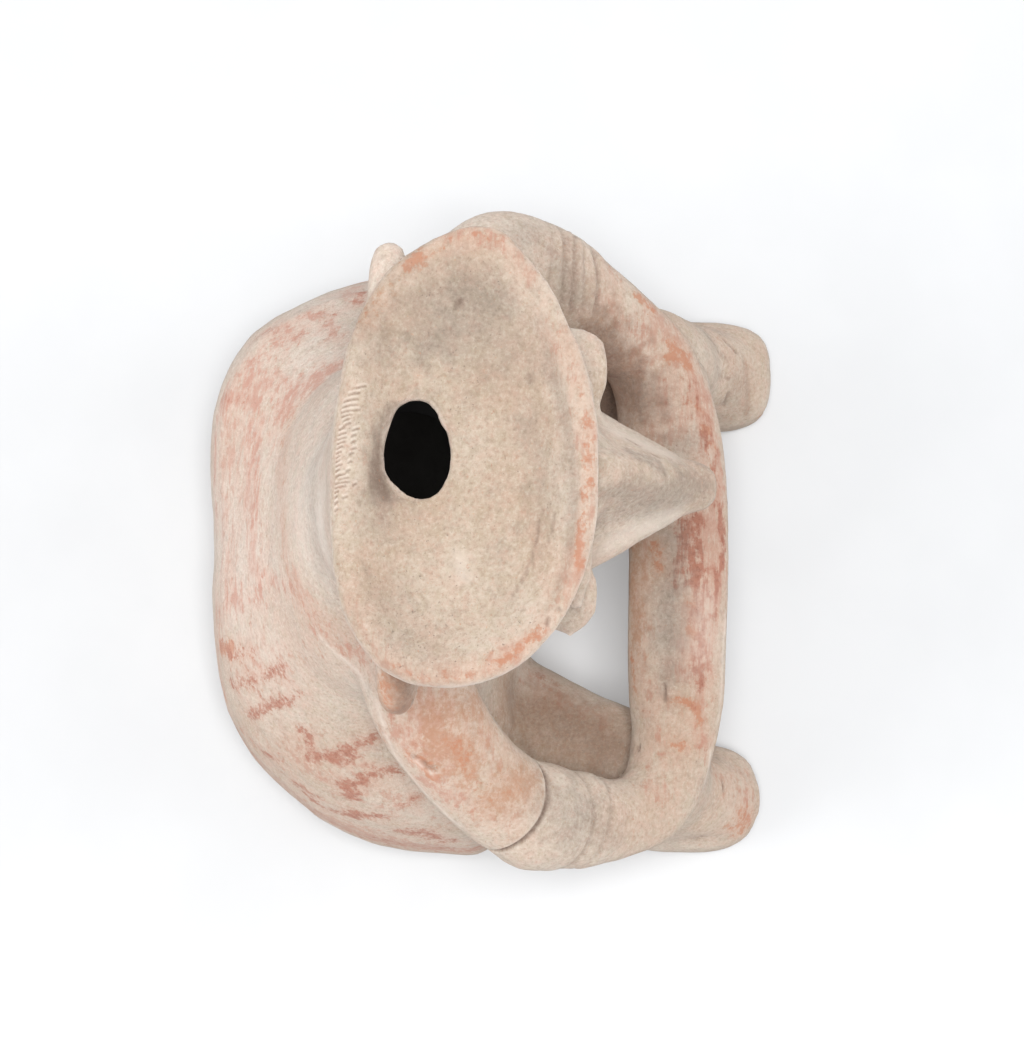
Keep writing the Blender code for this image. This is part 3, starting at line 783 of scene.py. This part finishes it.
lay_strokes("orange", (
    (1, 3.4, [(-36, -97, 93), (-38, -91, 112)]),
    (0.55, 3, [(-40, -88, 117), (-41, -83, 126)]),
    (0.95, 3.6, [(61, -24, 319), (63, -21, 319)]),
    (0.48, 2, [(64, -18, 320), (65, -13, 320)]),
    (0.36, 2, [(69, -11, 320), (71, -4, 321)]),
    (0.42, 1.8, [(69, -3, 321), (68, 4, 321)]),
    (0.3, 4, [(44, -36, 318), (51, -32, 319)]),
    (0.3, 2, [(38, 24, 323), (33, 28, 323)]),
    (0.4, 2, [(24, 28.5, 323), (14, 30.5, 324)]),
    (0.7, 2.5, [(12, 32, 323), (6, 32, 324), (0, 32.5, 323), (-6, 32, 324)]),
    (0.6, 1.8, [(-8, 30, 323), (-17, 29, 323)]),
    (0.8, 2.2, [(-18, 29, 323), (-24, 29.5, 323), (-30, 29.5, 323)]),
    (0.25, 1.8, [(-36, 27, 323), (-44, 24, 323)]),
    (0.8, 2.6, [(-50, 18, 322), (-56, 12, 322), (-60, 6, 321)]),
    (0.45, 2.2, [(-63, 0, 321), (-65, -8, 320), (-65, -15, 319)]),
    (0.42, 2, [(-64, -18, 319), (-63, -23, 319), (-60, -26, 318)]),
    (0.62, 4.4, [(-77, -5, 192), (-84, -3, 188)]),
    (0.42, 4, [(-75, -11, 196), (-76, -8, 194)]),
    (0.42, 4, [(-94, 3, 179), (-92, 9, 177), (-90, 15, 174)]),
    (0.8, 1.8, [(-81, -20, 192), (-85, -14, 189)]),
    (0.9, 3, [(91, 54, 144), (87, 59, 139)]),
    (1, 3.6, [(71, 66, 134), (71, 70, 131), (68, 73, 129)]),
    (0.6, 3, [(75, 64, 135), (74, 69, 132)]),
    (1, 2.2, [(45, 78, 129), (45, 80, 128)]),
    (0.7, 2, [(40, 81, 128), (39, 83, 126)]),
    (0.7, 2.6, [(54, 74, 131), (52, 77, 129)]),
    (0.9, 2.4, [(2, 61, 131), (-2, 63, 132), (-7, 63, 132)]),
    (0.8, 2.2, [(-19, 73, 133), (-20, 76, 133)]),
    (0.9, 2.6, [(-28, 74, 133), (-30, 76, 133)]),
    (0.9, 2.4, [(-54, 71, 133), (-55, 75, 132)]),
    (1, 2.2, [(-88, -16, 187), (-84, -20, 190), (-80, -24, 191)]),
    (0.8, 2.8, [(-58, 78, 131), (-62, 79, 129)]),
    (0.7, 2.6, [(-70, 70, 131), (-71, 74, 130)]),
    (0.7, 2, [(-38, 54, 122), (-50, 55, 124)]),
    (0.8, 4.5, [(-90, 102, 36), (-96, 103, 28)]),
    (0.5, 3, [(-95, 96, 38), (-96, 103, 29)]),
    (0.7, 2.6, [(69, 108, 18), (72, 110, 14)]),
    (0.7, 4, [(-64, -28, 284), (-72, -26, 277)]),
))

# %% [markdown]
# The stripes are the last coat of red. A soft blush is left under those of the right hip.

# %% Stripes and streaks
STRIPES = (
    (0.6, 3, [(-61, -84, 100), (-58, -76, 120), (-58, -68, 132)]),
    (0.6, 4, [(-84, -68, 84), (-88, -58, 90)]),
    (0.6, 4, [(-102, -30, 84), (-101, -18, 82), (-103, -8, 66)]),
    (0.62, 4.2, [(-35, -97, 95), (-40, -90, 113), (-40, -82, 128)]),
    (0.66, 3.6, [(-50, -91, 100), (-50, -85, 114), (-49, -81, 123)]),
    (0.72, 3.6, [(-49, -78, 129), (-47, -70, 143)]),
    (0.48, 3.6, [(-60, -84, 103), (-59, -75, 121), (-56, -64, 141)]),
    (0.74, 3.6, [(-68, -64, 124), (-69, -61, 126)]),
    (0.8, 3.6, [(-73, -62, 120), (-77, -57, 119), (-77, -62, 113)]),
    (0.72, 3.9, [(-77, -53, 122), (-74, -46, 130), (-72, -41, 135), (-70, -35, 140)]),
    (0.62, 3.3, [(-79, -49, 121), (-77, -46, 126)]),
    (0.8, 4.2, [(-87, -50, 109), (-85, -44, 114), (-82, -36, 122), (-81, -30, 123)]),
    (0.87, 4, [(-90, -47, 104), (-88, -46, 109)]),
    (0.69, 3.6, [(-73, -79, 86), (-76, -75, 93)]),
    (0.69, 4, [(-89, -63, 84), (-94, -56, 80), (-96, -46, 90)]),
    (0.78, 4.2, [(-96, -46, 90), (-96, -36, 96)]),
    (0.57, 2.3, [(-94, -31, 103), (-90, -23, 111)]),
    (0.65, 4.7, [(-100, -26, 85), (-100, -18, 87), (-102, -11, 77), (-103, -5, 63)]),
    (0.5, 5.6, [(-105, -38, 63), (-108, -19, 62), (-109, 0, 64)]),
    (0.39, 4.3, [(55, -99, 103), (54, -88, 121)]),
    (0.35, 4, [(81, -83, 102), (75, -71, 122)]),
    (0.35, 3.2, [(87, -67, 109), (84, -61, 117)]),
    (0.39, 3.2, [(79, -61, 123), (72, -54, 137)]),
    (0.62, 2.8, [(95, -48, 106), (90, -49, 115)]),
    (0.3, 2.8, [(18, -87, 132), (6, -84, 142)]),
    (0.3, 2.5, [(-7, -92, 120), (-19, -89, 125)]),
    (0.3, 3.2, [(-17, -79, 150), (-22, -68, 178)]),
    (0.65, 2.2, [(30, 83, 127), (25, 85, 126)]),
    (0.87, 2.5, [(15, 85, 127), (9, 87, 124), (3, 87, 125)]),
    (0.78, 2.2, [(0, 86, 126), (-6, 86, 126)]),
    (0.83, 1, [(-9, 84, 128), (-17, 84, 128), (-24, 84, 128)]),
    (0.69, 2.2, [(11, 75, 133), (2, 76, 133)]),
    (0.78, 2.5, [(-4, 75, 133), (-9, 77, 133)]),
    (0.69, 1.8, [(7, 68, 133), (5, 70, 134)]),
    (0.69, 1.8, [(-25, 74, 133), (-26, 77, 132)]),
    (0.69, 1.9, [(-47, 77, 132), (-50, 79, 131)]),
    (0.53, 2.5, [(-58, 57, 126), (-59, 60, 128)]),
    (0.53, 4.3, [(71, 44, 140), (64, 46, 122)]),
    (0.44, 4.3, [(-40, 22, 76), (-44, 23, 79)]),
    (0.62, 1.5, [(67, 53, 136), (66, 54, 134)]),
    (0.53, 2.2, [(-67, 84, 124), (-71, 81, 125)]),
)
lay_strokes("stripe", STRIPES)
lay_strokes("blush", [(0.4, 7, path) for _, _, path in STRIPES[3:18]])
lay_strokes("streak", (
    (0.9, 3, [(16, 85, 127), (3, 87, 125), (-6, 86, 126)]),
    (0.8, 2, [(-9, 84, 128), (-24, 84, 128)]),
    (0.8, 4, [(12, 76, 133), (0, 76, 133), (-10, 77, 133)]),
    (0.6, 5, [(12, 71, 134), (-12, 70, 133)]),
    (0.6, 6, [(-10, 79, 132), (-30, 79, 132), (-44, 78, 132)]),
    (0.35, 5, [(-44, 78, 132), (-66, 77, 130)]),
    (0.5, 7, [(60, 76, 129), (40, 80, 128), (25, 82, 127)]),
    (0.35, 6, [(62, 66, 134), (48, 72, 133)]),
))

# %% [markdown]
# A darkening film lies over the dish, less on its rim, and grows towards the front and the right;
# on the thighs it is painted shade. Soot and grime came next, and some of them are painted shade: at
# the back lip of the vent, on the right ear under the rim, on the thighs and inside the left arm
# under the head. Pale strokes are painted highlight along edges that catch the light, beside a few
# rubbed places. Specks are where the skin has worn through to the sand in the clay.

# %% Dust, smoke, grime, wear, painted shade and painted highlight
in_front = 0.55 * np.clip((spots[:, 1] + 30) / 50, 0, 1)
on_bar = 0.2 * np.clip((spots[:, 1] - 45) / 15, 0, 1)
on_right = 0.55 * np.clip((-spots[:, 0] - 20) / 50, 0, 1)
on_rim = 0.25 * np.clip((spots[:, 2] - 315) / 4, 0, 1)
paint["dust_and_shade"] = np.where(top, upward * (1 - on_rim), np.maximum(in_front + on_bar, on_right))
lay_strokes("dust_and_shade", (
    # Painted shade on the thighs under the arms
    (1, 16, [(-50, 5, 105), (-56, 24, 92), (-66, 44, 100)]),
    (0.8, 14, [(64, 30, 100), (66, 44, 120)]),
    (0.5, 11, [(-2, 42, 290), (-2, 60, 270)]),
))
lay_strokes("soot_and_shade", (
    # Painted shade on the pressed-down back lip of the vent
    (0.7, 4, [(14, -30, 311), (8, -31, 312), (-1, -31, 312), (-8, -29, 310)]),
    (1, 3.6, [(2, -31, 311), (-4, -32, 312), (-9, -29, 310)]),
    (0.8, 2.2, [(18, -27, 309), (10, -30.5, 311), (0, -30, 311), (-9, -27, 309)]),
    # Painted shadow of the head on the inside of the left arm
    (0.7, 9, [(74, 40, 147), (67, 46, 137), (61, 50, 130), (53, 55, 130)]),
    (0.4, 2.5, [(-44, 65, 132), (-50, 66, 132)]),
    (0.45, 13, [(51, -17, 313), (50, -7, 312)]),
    (0.6, 6, [(55, -6, 313), (51, 1, 312)]),
    (0.6, 5, [(41, -12, 309), (37, -19, 309)]),
    (0.4, 8, [(40, -33, 318), (35, -32, 315)]),
    (0.35, 14, [(43, -5, 310), (38, 6, 312)]),
    (0.4, 2.5, [(33, 18, 318), (20, 22, 319), (5, 25, 320), (-10, 27, 321), (-22, 26, 321)]),
    (0.3, 6, [(15, 14, 312), (0, 19, 315), (-16, 19, 315)]),
    (0.8, 8, [(-3, 43, 290), (-2, 52, 278), (1, 66, 265)]),
    (0.7, 7, [(4, 64, 266), (4, 72, 259)]),
    (0.8, 1.6, [(14, 46, 285), (9, 55, 276)]),
    (0.7, 1.2, [(9, 48, 284), (5, 56, 276)]),
    # Painted shade in the gap under the left arm
    (1, 9, [(62, 46, 95), (60, 42, 90)]),
    # Painted shade on the right flank of the nose
    (0.5, 7, [(-10, 39, 278), (-6, 50, 272), (-3, 59, 267)]),
    (0.7, 6, [(-16, 66, 133), (-32, 67, 133)]),
    (0.45, 7, [(4, 67, 133), (-46, 68, 132)]),
    (0.4, 5, [(3, 70, 134), (-15, 69, 133)]),
    (0.6, 8, [(94, 26, 169), (84, 29, 164)]),
    (0.45, 7, [(104, 10, 179), (106, 15, 174)]),
    (0.4, 10, [(12, -58, 220), (-6, -56, 228), (-18, -54, 220)]),
    (0.5, 10, [(-93, 27, 165), (-103, 34, 161)]),
    (0.45, 8, [(-95, 39, 156), (-105, 47, 149)]),
    (0.4, 6, [(70, 98, 30), (80, 96, 44)]),
    (0.5, 6, [(40, 73, 133), (38, 70, 134)]),
    (0.45, 8, [(57, 55, 131), (55, 60, 133)]),
    # Painted shade on the right thigh under the arm
    (0.5, 10, [(-65, 29, 94), (-72, 44, 100), (-75, 51, 103)]),
    (0.4, 7, [(-40, 33, 288), (-43, 30, 272)]),
    (0.3, 9, [(-41, -28, 313), (-53, -23, 317), (-57, -14, 318)]),
    # Painted shade at the back corner of the vent
    (0.4, 8, [(-10, -30, 310), (-14, -29, 309)]),
    # Painted shade on the thighs under the arms
    (0.6, 12, [(-52, 15, 95), (-58, 30, 92), (-70, 48, 100)]),
    (0.5, 12, [(62, 40, 100), (66, 44, 124)]),
))
lay_strokes("grime_and_shade", (
    # Painted shade on the pressed-down back lip of the vent
    (0.9, 1.8, [(7, -31, 310.5), (-1, -31.5, 311), (-8, -29, 309.5)]),
    (0.9, 2.4, [(-3, -31, 311), (-9, -28.5, 309.5)]),
    (0.5, 3, [(0, -33, 312.5), (-7, -31, 311)]),
    # Painted shade on the right ear, under the rim
    (0.6, 4, [(-62, -23, 287), (-66, -21, 285), (-70, -22, 281)]),
    (0.8, 4, [(-66, -21, 283), (-72, -23, 277)]),
    # Painted shadow of the head inside the left arm, and painted shade in the gap below it
    (0.6, 9, [(76, 39, 148), (68, 45, 138), (61, 50, 130)]),
    (1, 10, [(62, 46, 95), (60, 42, 90)]),
))
# Pale strokes are painted highlight, with pale worn clay, along edges that catch the light: the
# right shoulder over the hip, the lower edge of the arm bar, the outer edge of the rim and the
# flanks of the nose. The others pale the gouge, the dish, the nape and the back.
lay_strokes("pale", (
    (1, 0.9, [(-81, -23, 190.5), (-84, -19, 189.5), (-87, -15, 188)]),
    (0.8, 1.1, [
        (-41, -55, 189), (-48, -47, 190), (-55, -40, 193), (-62, -35, 196), (-70, -32, 193),
    ]),
    (0.8, 1.1, [
        (-70, -32, 193), (-80, -29, 185), (-88, -22, 178), (-97, -12, 170), (-103, -3, 164),
    ]),
    (0.6, 1, [(-22, 86, 121), (-44, 85, 122), (-60, 83, 120)]),
    (0.7, 1.2, [(-72, 82, 121), (-80, 80, 118), (-88, 78, 116)]),
    (0.5, 2, [(20, 34, 318), (-20, 35, 318), (-44, 27, 317), (-60, 11, 316), (-68, -8, 315)]),
    (0.6, 8, [(-1, -52, 253), (-7, -54, 239), (-14, -52, 241)]),
    (0.5, 6, [(20, 42, 270), (18, 47, 267), (14, 58, 262)]),
    (0.5, 7, [(-16, 41, 261), (-11, 50, 261), (-6, 60, 259)]),
    (0.35, 6, [(-18, 80, 131), (-36, 79, 131)]),
    (0.5, 3, [(-27, -6, 308), (-32, -5, 309)]),
    (0.4, 12, [(3, -62, 211), (-10, -62, 208)]),
))
lay_strokes("specks", (
    (0.9, 14, [(-47, -23, 314), (-53, -14, 315), (-54, -4, 317)]),
    (0.8, 12, [(-38, -28, 312), (-48, -20, 313)]),
    (0.6, 12, [(-40, -1, 311), (-46, 8, 316)]),
    (0.7, 10, [(16, -9, 306), (28, -4, 307)]),
    (0.6, 14, [(51, -17, 313), (52, -2, 312)]),
    (0.5, 14, [(3, 14, 312), (-16, 18, 314)]),
    (0.6, 10, [(-16, -24, 308), (-18, -12, 307)]),
    (0.7, 8, [(20, -30, 311), (5, -31, 310)]),
    (0.5, 12, [(-4, 49, 279), (1, 62, 270)]),
    (0.5, 8, [(-91, -9, 183), (-94, -2, 180)]),
))

# %% [markdown]
# ## Hand the rows to the material
# Each row becomes an attribute of the mesh, which the material reads by name.

# %% Attributes
DIP_CONTRAST = 4
EDGE_CONTRAST = 2.2
FLAT_SHARE = 0.1

# Darker in dips; paler on edges, partly painted highlight
paint["dip"] = np.clip(dip * DIP_CONTRAST, 0, 1)
paint["edge"] = np.clip(-dip * EDGE_CONTRAST - FLAT_SHARE, 0, 1)
for kind, values in paint.items():
    layer = figure.data.attributes.new(kind, "FLOAT", "POINT")
    layer.data.foreach_set("value", values)
print("attributes", list(paint))

# %% [markdown]
# ## Low-fired buff earthenware with worn red slip
# This clay was dug with its sand in it and fired in an open fire at a low heat, so it is matt,
# porous and uneven: cream where the flame was clean, buff and grey where smoke lay on it. The eye
# sees soft clouds a few centimetres wide, fine dark and pink grit under a millimetre, and slip
# that is left in flakes and streaks. All scales are set in millimetres.

# %% Helpers for the material


def sRGB(code):
    """A hex colour as Blender's linear red, green, blue and alpha."""
    parts = [int(code[index : index + 2], 16) / 255 for index in (1, 3, 5)]
    linear = [part / 12.92 if part <= 0.04045 else ((part + 0.055) / 1.055) ** 2.4 for part in parts]
    return (*linear, 1)


def per_mm(size):
    """The scale of a pattern whose features are this many millimetres."""
    return 1000 / size


def add(tree, kind, inputs=None, **settings):
    """Adds one node with its settings, and gives each input a value or the output that feeds it."""
    made = tree.nodes.new(kind)
    for name, value in settings.items():
        setattr(made, name, value)
    for name, value in (inputs or {}).items():
        if isinstance(value, bpy.types.NodeSocket):
            tree.links.new(value, made.inputs[name])
        else:
            made.inputs[name].default_value = value
    return made


earthenware = figure.data.materials[OUTSIDE]
earthenware.name = "buff_earthenware_worn_red_slip"
earthenware.use_nodes = True
tree = earthenware.node_tree
tree.nodes.clear()
places = add(tree, "ShaderNodeTexCoord").outputs["Object"]
print("material", earthenware.name)

# %% [markdown]
# The patterns of wear come first, each a cloud of noise with features of a set size: the spread of
# a palm, a thumb, the mottle of the skin, flakes of slip, streaks along the brush, and grit.

# %% Patterns
PATTERNS = {
    "palm": (38, 4.0, 0.6),
    "rosy": (19, 4.0, 0.65),
    "thumb": (8, 4.0, 0.65),
    "patch": (4.2, 3.0, 0.7),
    "mottle": (1.5, 3.0, 0.75),
    "flakes": (1.7, 3.0, 0.75),
    "grit": (1.1, 2.5, 0.7),
    "streaks": (2.2, 4.0, 0.75),
}
brushed = add(tree, "ShaderNodeMapping", {"Vector": places, "Scale": (0.16, 1.0, 0.6)})
pattern = {}
for name, (size, detail, roughness) in PATTERNS.items():
    sockets = {
        "Vector": brushed.outputs[0] if name == "streaks" else places,
        "Scale": per_mm(size),
        "Detail": detail,
        "Roughness": roughness,
    }
    pattern[name] = add(tree, "ShaderNodeTexNoise", sockets).outputs["Fac"]
print("patterns", list(pattern))

# %% [markdown]
# The body colour is laid over in thin layers: cream and buff in wide clouds, a rosy tinge, smoke
# grey in thumb marks, then a fine mottle that is damp and dark in places and rubbed pale in others.

# %% Clay body
MIX_FACTOR, MIX_A, MIX_B, MIX_RESULT = 0, 6, 7, 2
CREAM = "#CEC2B6"
BUFF = "#C2B2A2"
ROSY = "#CDB0A2"
SMOKE = "#ADA196"
OLIVE = "#B3A68F"
RUBBED = "#DFD7CC"
DAMP = "#9C8877"
ROSE_GRAIN = "#B7907F"


def lay(coat, colour, amount, low, high, most=1.0, way="MIX"):
    """Lays a colour over the coat, more of it where the amount goes from low to high."""
    sockets = {"Value": amount, "From Min": low, "From Max": high, "To Max": most}
    share = add(tree, "ShaderNodeMapRange", sockets).outputs[0]
    sockets = {MIX_FACTOR: share, MIX_A: coat, MIX_B: colour}
    laid = add(tree, "ShaderNodeMix", sockets, data_type="RGBA", blend_type=way)
    return laid.outputs[MIX_RESULT]


# Colour, pattern, where it starts and is full, and the most that it covers
CLAY_LAYERS = (
    (BUFF, "palm", 0.36, 0.64, 1.0),
    (ROSY, "rosy", 0.42, 0.70, 0.4),
    (SMOKE, "thumb", 0.52, 0.74, 0.6),
    (ROSY, "patch", 0.50, 0.66, 0.4),
    (OLIVE, "patch", 0.50, 0.36, 0.3),
    (DAMP, "mottle", 0.52, 0.68, 0.42),
    (RUBBED, "mottle", 0.48, 0.34, 0.42),
    (ROSE_GRAIN, "flakes", 0.56, 0.70, 0.4),
)
coat = sRGB(CREAM)
for colour, name, low, high, most in CLAY_LAYERS:
    coat = lay(coat, sRGB(colour), pattern[name], low, high, most)
print("clay", len(CLAY_LAYERS), "layers")

# %% [markdown]
# Slip that has worn leaves two things: a stain that went into the clay, and flecks of the coat
# itself where it still holds. The stain follows the painted amount softly. The flecks stay where
# the painted amount is more than what has gone there, which is fine noise in larger patches.

# %% Worn slip
PINK = "#CBAA9A"
ROSE_FLECK = "#BA8B7B"
SIENNA = "#B08468"
ORANGE_STAIN = "#C9A58F"
ORANGE_FLECK = "#BB8266"
RED_STAIN = "#C29886"
RED_FLECK = "#B07C6A"
DEEP_RED = "#986353"
WORN_TO_THICK = {"From Min": 0.64, "From Max": 0.34, "To Min": 0.25, "To Max": 1.35}


def slip(coat, kind, stain, fleck, gone, stain_most, fleck_most):
    """Lays one kind of slip: its stain, thinner where the slip has gone, and its flecks."""
    laid = add(tree, "ShaderNodeAttribute", attribute_name=kind).outputs["Fac"]
    sockets = {"Value": pattern[gone], **WORN_TO_THICK}
    uneven = add(tree, "ShaderNodeMapRange", sockets).outputs[0]
    stained = add(tree, "ShaderNodeMath", {0: laid, 1: uneven}, operation="MULTIPLY").outputs[0]
    coat = lay(coat, stain, stained, 0.0, 1.0, stain_most)
    both = add(tree, "ShaderNodeMath", {0: pattern[gone], 1: pattern["patch"]}, operation="ADD")
    sockets = {0: laid, 1: -0.62, 2: both.outputs[0]}
    left = add(tree, "ShaderNodeMath", sockets, operation="MULTIPLY_ADD").outputs[0]
    return lay(coat, fleck, left, 0.70, 0.48, fleck_most)


red = lay(sRGB(RED_FLECK), sRGB(DEEP_RED), pattern["mottle"], 0.48, 0.64, 0.8)
# Kind, stain, fleck, the pattern that it has gone by, and the most of stain and fleck
SLIPS = (
    ("blush", PINK, sRGB(ROSE_FLECK), "streaks", 0.45, 0.5),
    ("wash", PINK, sRGB(ROSE_FLECK), "streaks", 0.4, 0.6),
    ("sienna", SIENNA, sRGB(SIENNA), "flakes", 0.6, 0.3),
    ("orange", ORANGE_STAIN, sRGB(ORANGE_FLECK), "flakes", 0.4, 0.7),
    ("stripe", RED_STAIN, red, "flakes", 0.45, 0.84),
    ("streak", RED_STAIN, red, "streaks", 0.4, 0.9),
)
for kind, stain, fleck, gone, stain_most, fleck_most in SLIPS:
    coat = slip(coat, kind, sRGB(stain), fleck, gone, stain_most, fleck_most)
print("slip", len(SLIPS), "kinds")

# %% [markdown]
# A darkening film lies over the dish, the tops of the arms and the thighs; on the thighs it is
# painted shade. Smoke, grime in the scored lines, darker dips and pale edges go over it; part of the
# smoke and grime is painted shade, and the pale strokes and edges are painted highlight beside
# rubbed wear. Last
# comes the sand in the clay: dark grains under a millimetre wide, which lie thicker where the skin
# has worn through.

# %% Dust, smoke, grime, painted shade and highlight, edges and grit
DUST_AND_SHADE_FILM = "#E2DDD6"
SOOT_AND_SHADE_GREY = "#746A61"
GRIME_AND_SHADE_BROWN = "#6B574B"
PALE_HIGHLIGHT_AND_WEAR = "#E0D6CC"
DARK_GRAIN = "#5E5148"
ORANGE_GRAIN = "#B5805F"

dust_and_shade = add(tree, "ShaderNodeAttribute", attribute_name="dust_and_shade").outputs["Fac"]
coat = lay(coat, sRGB(DUST_AND_SHADE_FILM), dust_and_shade, 0.0, 1.0, 1.0, "MULTIPLY")
# Smoke and grime hold painted shade beside soot and dirt, and pale and edge hold painted highlight
# beside rubbed wear
# Kind, colour and the most that it covers
WEAR_AND_PAINTED_LIGHT = (
    ("soot_and_shade", SOOT_AND_SHADE_GREY, 0.6),
    ("pale", PALE_HIGHLIGHT_AND_WEAR, 0.6),
    ("grime_and_shade", GRIME_AND_SHADE_BROWN, 0.7),
    ("dip", GRIME_AND_SHADE_BROWN, 0.32),
    ("edge", PALE_HIGHLIGHT_AND_WEAR, 0.5),
)
for kind, colour, most in WEAR_AND_PAINTED_LIGHT:
    laid = add(tree, "ShaderNodeAttribute", attribute_name=kind).outputs["Fac"]
    broken = add(tree, "ShaderNodeMath", {0: pattern["mottle"], 1: 0.5}, operation="ADD").outputs[0]
    share = add(tree, "ShaderNodeMath", {0: laid, 1: broken}, operation="MULTIPLY").outputs[0]
    coat = lay(coat, sRGB(colour), share, 0.0, 1.0, most)

worn_through = add(tree, "ShaderNodeAttribute", attribute_name="specks").outputs["Fac"]
sockets = {0: worn_through, 1: 0.07, 2: pattern["grit"]}
grains = add(tree, "ShaderNodeMath", sockets, operation="MULTIPLY_ADD").outputs[0]
coat = lay(coat, sRGB(DARK_GRAIN), grains, 0.68, 0.76, 0.55)
coat = lay(coat, sRGB(ORANGE_GRAIN), pattern["grit"], 0.34, 0.26, 0.45)
print("wear", len(WEAR_AND_PAINTED_LIGHT), "layers")

# %% [markdown]
# The bump has three parts: the drag of a wet hand, the mottle of the worn skin, and the grains.
# Fired clay scatters light evenly, with no gloss. Its dusty skin looks paler where it is seen
# along the surface, which a little sheen gives.

# %% Surface of the clay
# Pattern, strength and height in metres
BUMPS = (
    ("thumb", 0.6, 0.0010),
    ("mottle", 0.9, 0.0008),
    ("flakes", 0.6, 0.0004),
    ("grit", 0.4, 0.0002),
)
bump = None
for name, strength, distance in BUMPS:
    sockets = {"Strength": strength, "Distance": distance, "Height": pattern[name]}
    if bump:
        sockets["Normal"] = bump.outputs[0]
    bump = add(tree, "ShaderNodeBump", sockets)
sockets = {
    "Base Color": coat,
    "Normal": bump.outputs[0],
    "Roughness": 0.92,
    "Specular IOR Level": 0.2,
    "IOR": 1.5,
    "Diffuse Roughness": 0.6,
    "Sheen Weight": 0.06,
    "Sheen Roughness": 0.4,
}
surface = add(tree, "ShaderNodeBsdfPrincipled", sockets)
add(tree, "ShaderNodeOutputMaterial", {"Surface": surface.outputs[0]})
print("nodes", len(tree.nodes))

# %% [markdown]
# ## The smoked and shaded inside
# Inside, the clay was never wiped or painted, and the fire left it smoke grey; its dark colour is
# also painted shade for the dark of the hollow. Towards the head it darkens further, as painted
# shade where the light falls in through the vent. It shows only as the dark behind the vent.

# %% Inside of the vessel
PAINTED_SHADE_FROM, PAINTED_SHADE_FULL = 0.17, 0.23

inside_smoke_and_shade = figure.data.materials[INSIDE]
inside_smoke_and_shade.name = "unwiped_clay_smoke_and_painted_shade"
inside_smoke_and_shade.use_nodes = True
tree = inside_smoke_and_shade.node_tree
tree.nodes.clear()
places = add(tree, "ShaderNodeTexCoord").outputs["Object"]
sockets = {"Vector": places, "Scale": per_mm(12), "Detail": 4.0, "Roughness": 0.6}
coils = add(tree, "ShaderNodeTexNoise", sockets).outputs["Fac"]
# Dark smoke grey, also painted shade for the dark of the hollow
coat = lay(sRGB("#403D3A"), sRGB("#4A4744"), coils, 0.35, 0.65)
height = add(tree, "ShaderNodeSeparateXYZ", {"Vector": places}).outputs["Z"]
# Painted shade: darker towards the head, where the light falls in through the vent
coat = lay(coat, sRGB("#211F1E"), height, PAINTED_SHADE_FROM, PAINTED_SHADE_FULL)
bump = add(tree, "ShaderNodeBump", {"Strength": 0.6, "Distance": 0.001, "Height": coils})
sockets = {"Base Color": coat, "Normal": bump.outputs[0], "Roughness": 0.95}
surface = add(tree, "ShaderNodeBsdfPrincipled", sockets)
add(tree, "ShaderNodeOutputMaterial", {"Surface": surface.outputs[0]})
print("inside", inside_smoke_and_shade.name)

# %% [markdown]
# ## Table, light and background
# The figure stands on a sweep of pale grey paper, lit so brightly that it turns white.

# %% White table
bpy.ops.object.select_all(action="DESELECT")
bpy.ops.mesh.primitive_plane_add(size=6, location=(0, 0, 0))
table = bpy.context.active_object
table.name = "white_sweep"
paper = bpy.data.materials.new("matt_pale_grey_paper")
paper.use_nodes = True
tree = paper.node_tree
tree.nodes.clear()
places = add(tree, "ShaderNodeTexCoord").outputs["Object"]
sockets = {"Vector": places, "Scale": per_mm(60), "Detail": 3.0, "Roughness": 0.5}
clouds = add(tree, "ShaderNodeTexNoise", sockets).outputs["Fac"]
coat = lay(sRGB("#D4D5D6"), sRGB("#D2D3D4"), clouds, 0.4, 0.6)
sockets = {"Base Color": coat, "Roughness": 0.95, "Specular IOR Level": 0.1}
surface = add(tree, "ShaderNodeBsdfPrincipled", sockets)
add(tree, "ShaderNodeOutputMaterial", {"Surface": surface.outputs[0]})
table.data.materials.append(paper)
print("table", table.name, "of", paper.name)

# %% [markdown]
# The main soft light hangs overhead next to the camera, so its shadows hide under the figure.
# Weaker ones stand behind and in front, and an even white surround fills the rest.

# %% Light
# Name, place, size in metres and power in watts of each
SOFT_LIGHTS = (
    ("soft_box_behind", (-0.35, 1.6, 1.4), 1.2, 15),
    ("soft_box_in_front", (0.1, -1.6, 1.6), 1.2, 13),
    ("soft_box_above", (-0.26, -0.05, 2.3), 0.6, 44),
)
LIT_PLACE = (0, 0, 0.1)
SURROUND = "#F4F6FA"
SURROUND_STRENGTH = 0.48


def soft_light(name, place, target, size, power):
    """A square soft light, turned towards its target."""
    lamp = bpy.data.lights.new(name, "AREA")
    lamp.shape = "SQUARE"
    lamp.size = size
    lamp.energy = power
    holder = bpy.data.objects.new(name, lamp)
    holder.location = place
    holder.rotation_euler = (Vector(target) - Vector(place)).to_track_quat("-Z", "Y").to_euler()
    scene.collection.objects.link(holder)


for name, place, size, power in SOFT_LIGHTS:
    soft_light(name, place, LIT_PLACE, size, power)
world = bpy.data.worlds.new("white_surround")
scene.world = world
world.use_nodes = True
world.node_tree.nodes["Background"].inputs["Color"].default_value = sRGB(SURROUND)
world.node_tree.nodes["Background"].inputs["Strength"].default_value = SURROUND_STRENGTH
scene.view_settings.view_transform = "Standard"
scene.view_settings.look = "None"
print("lights", len(SOFT_LIGHTS), "and a white surround")

# %% [markdown]
# ## Hand over
# The worked skin takes the place of the plain solid and rides on its one body.

# %% Finish
only(figure)
bpy.ops.object.shade_smooth()
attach(figure, "root")
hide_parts("seated_figure")
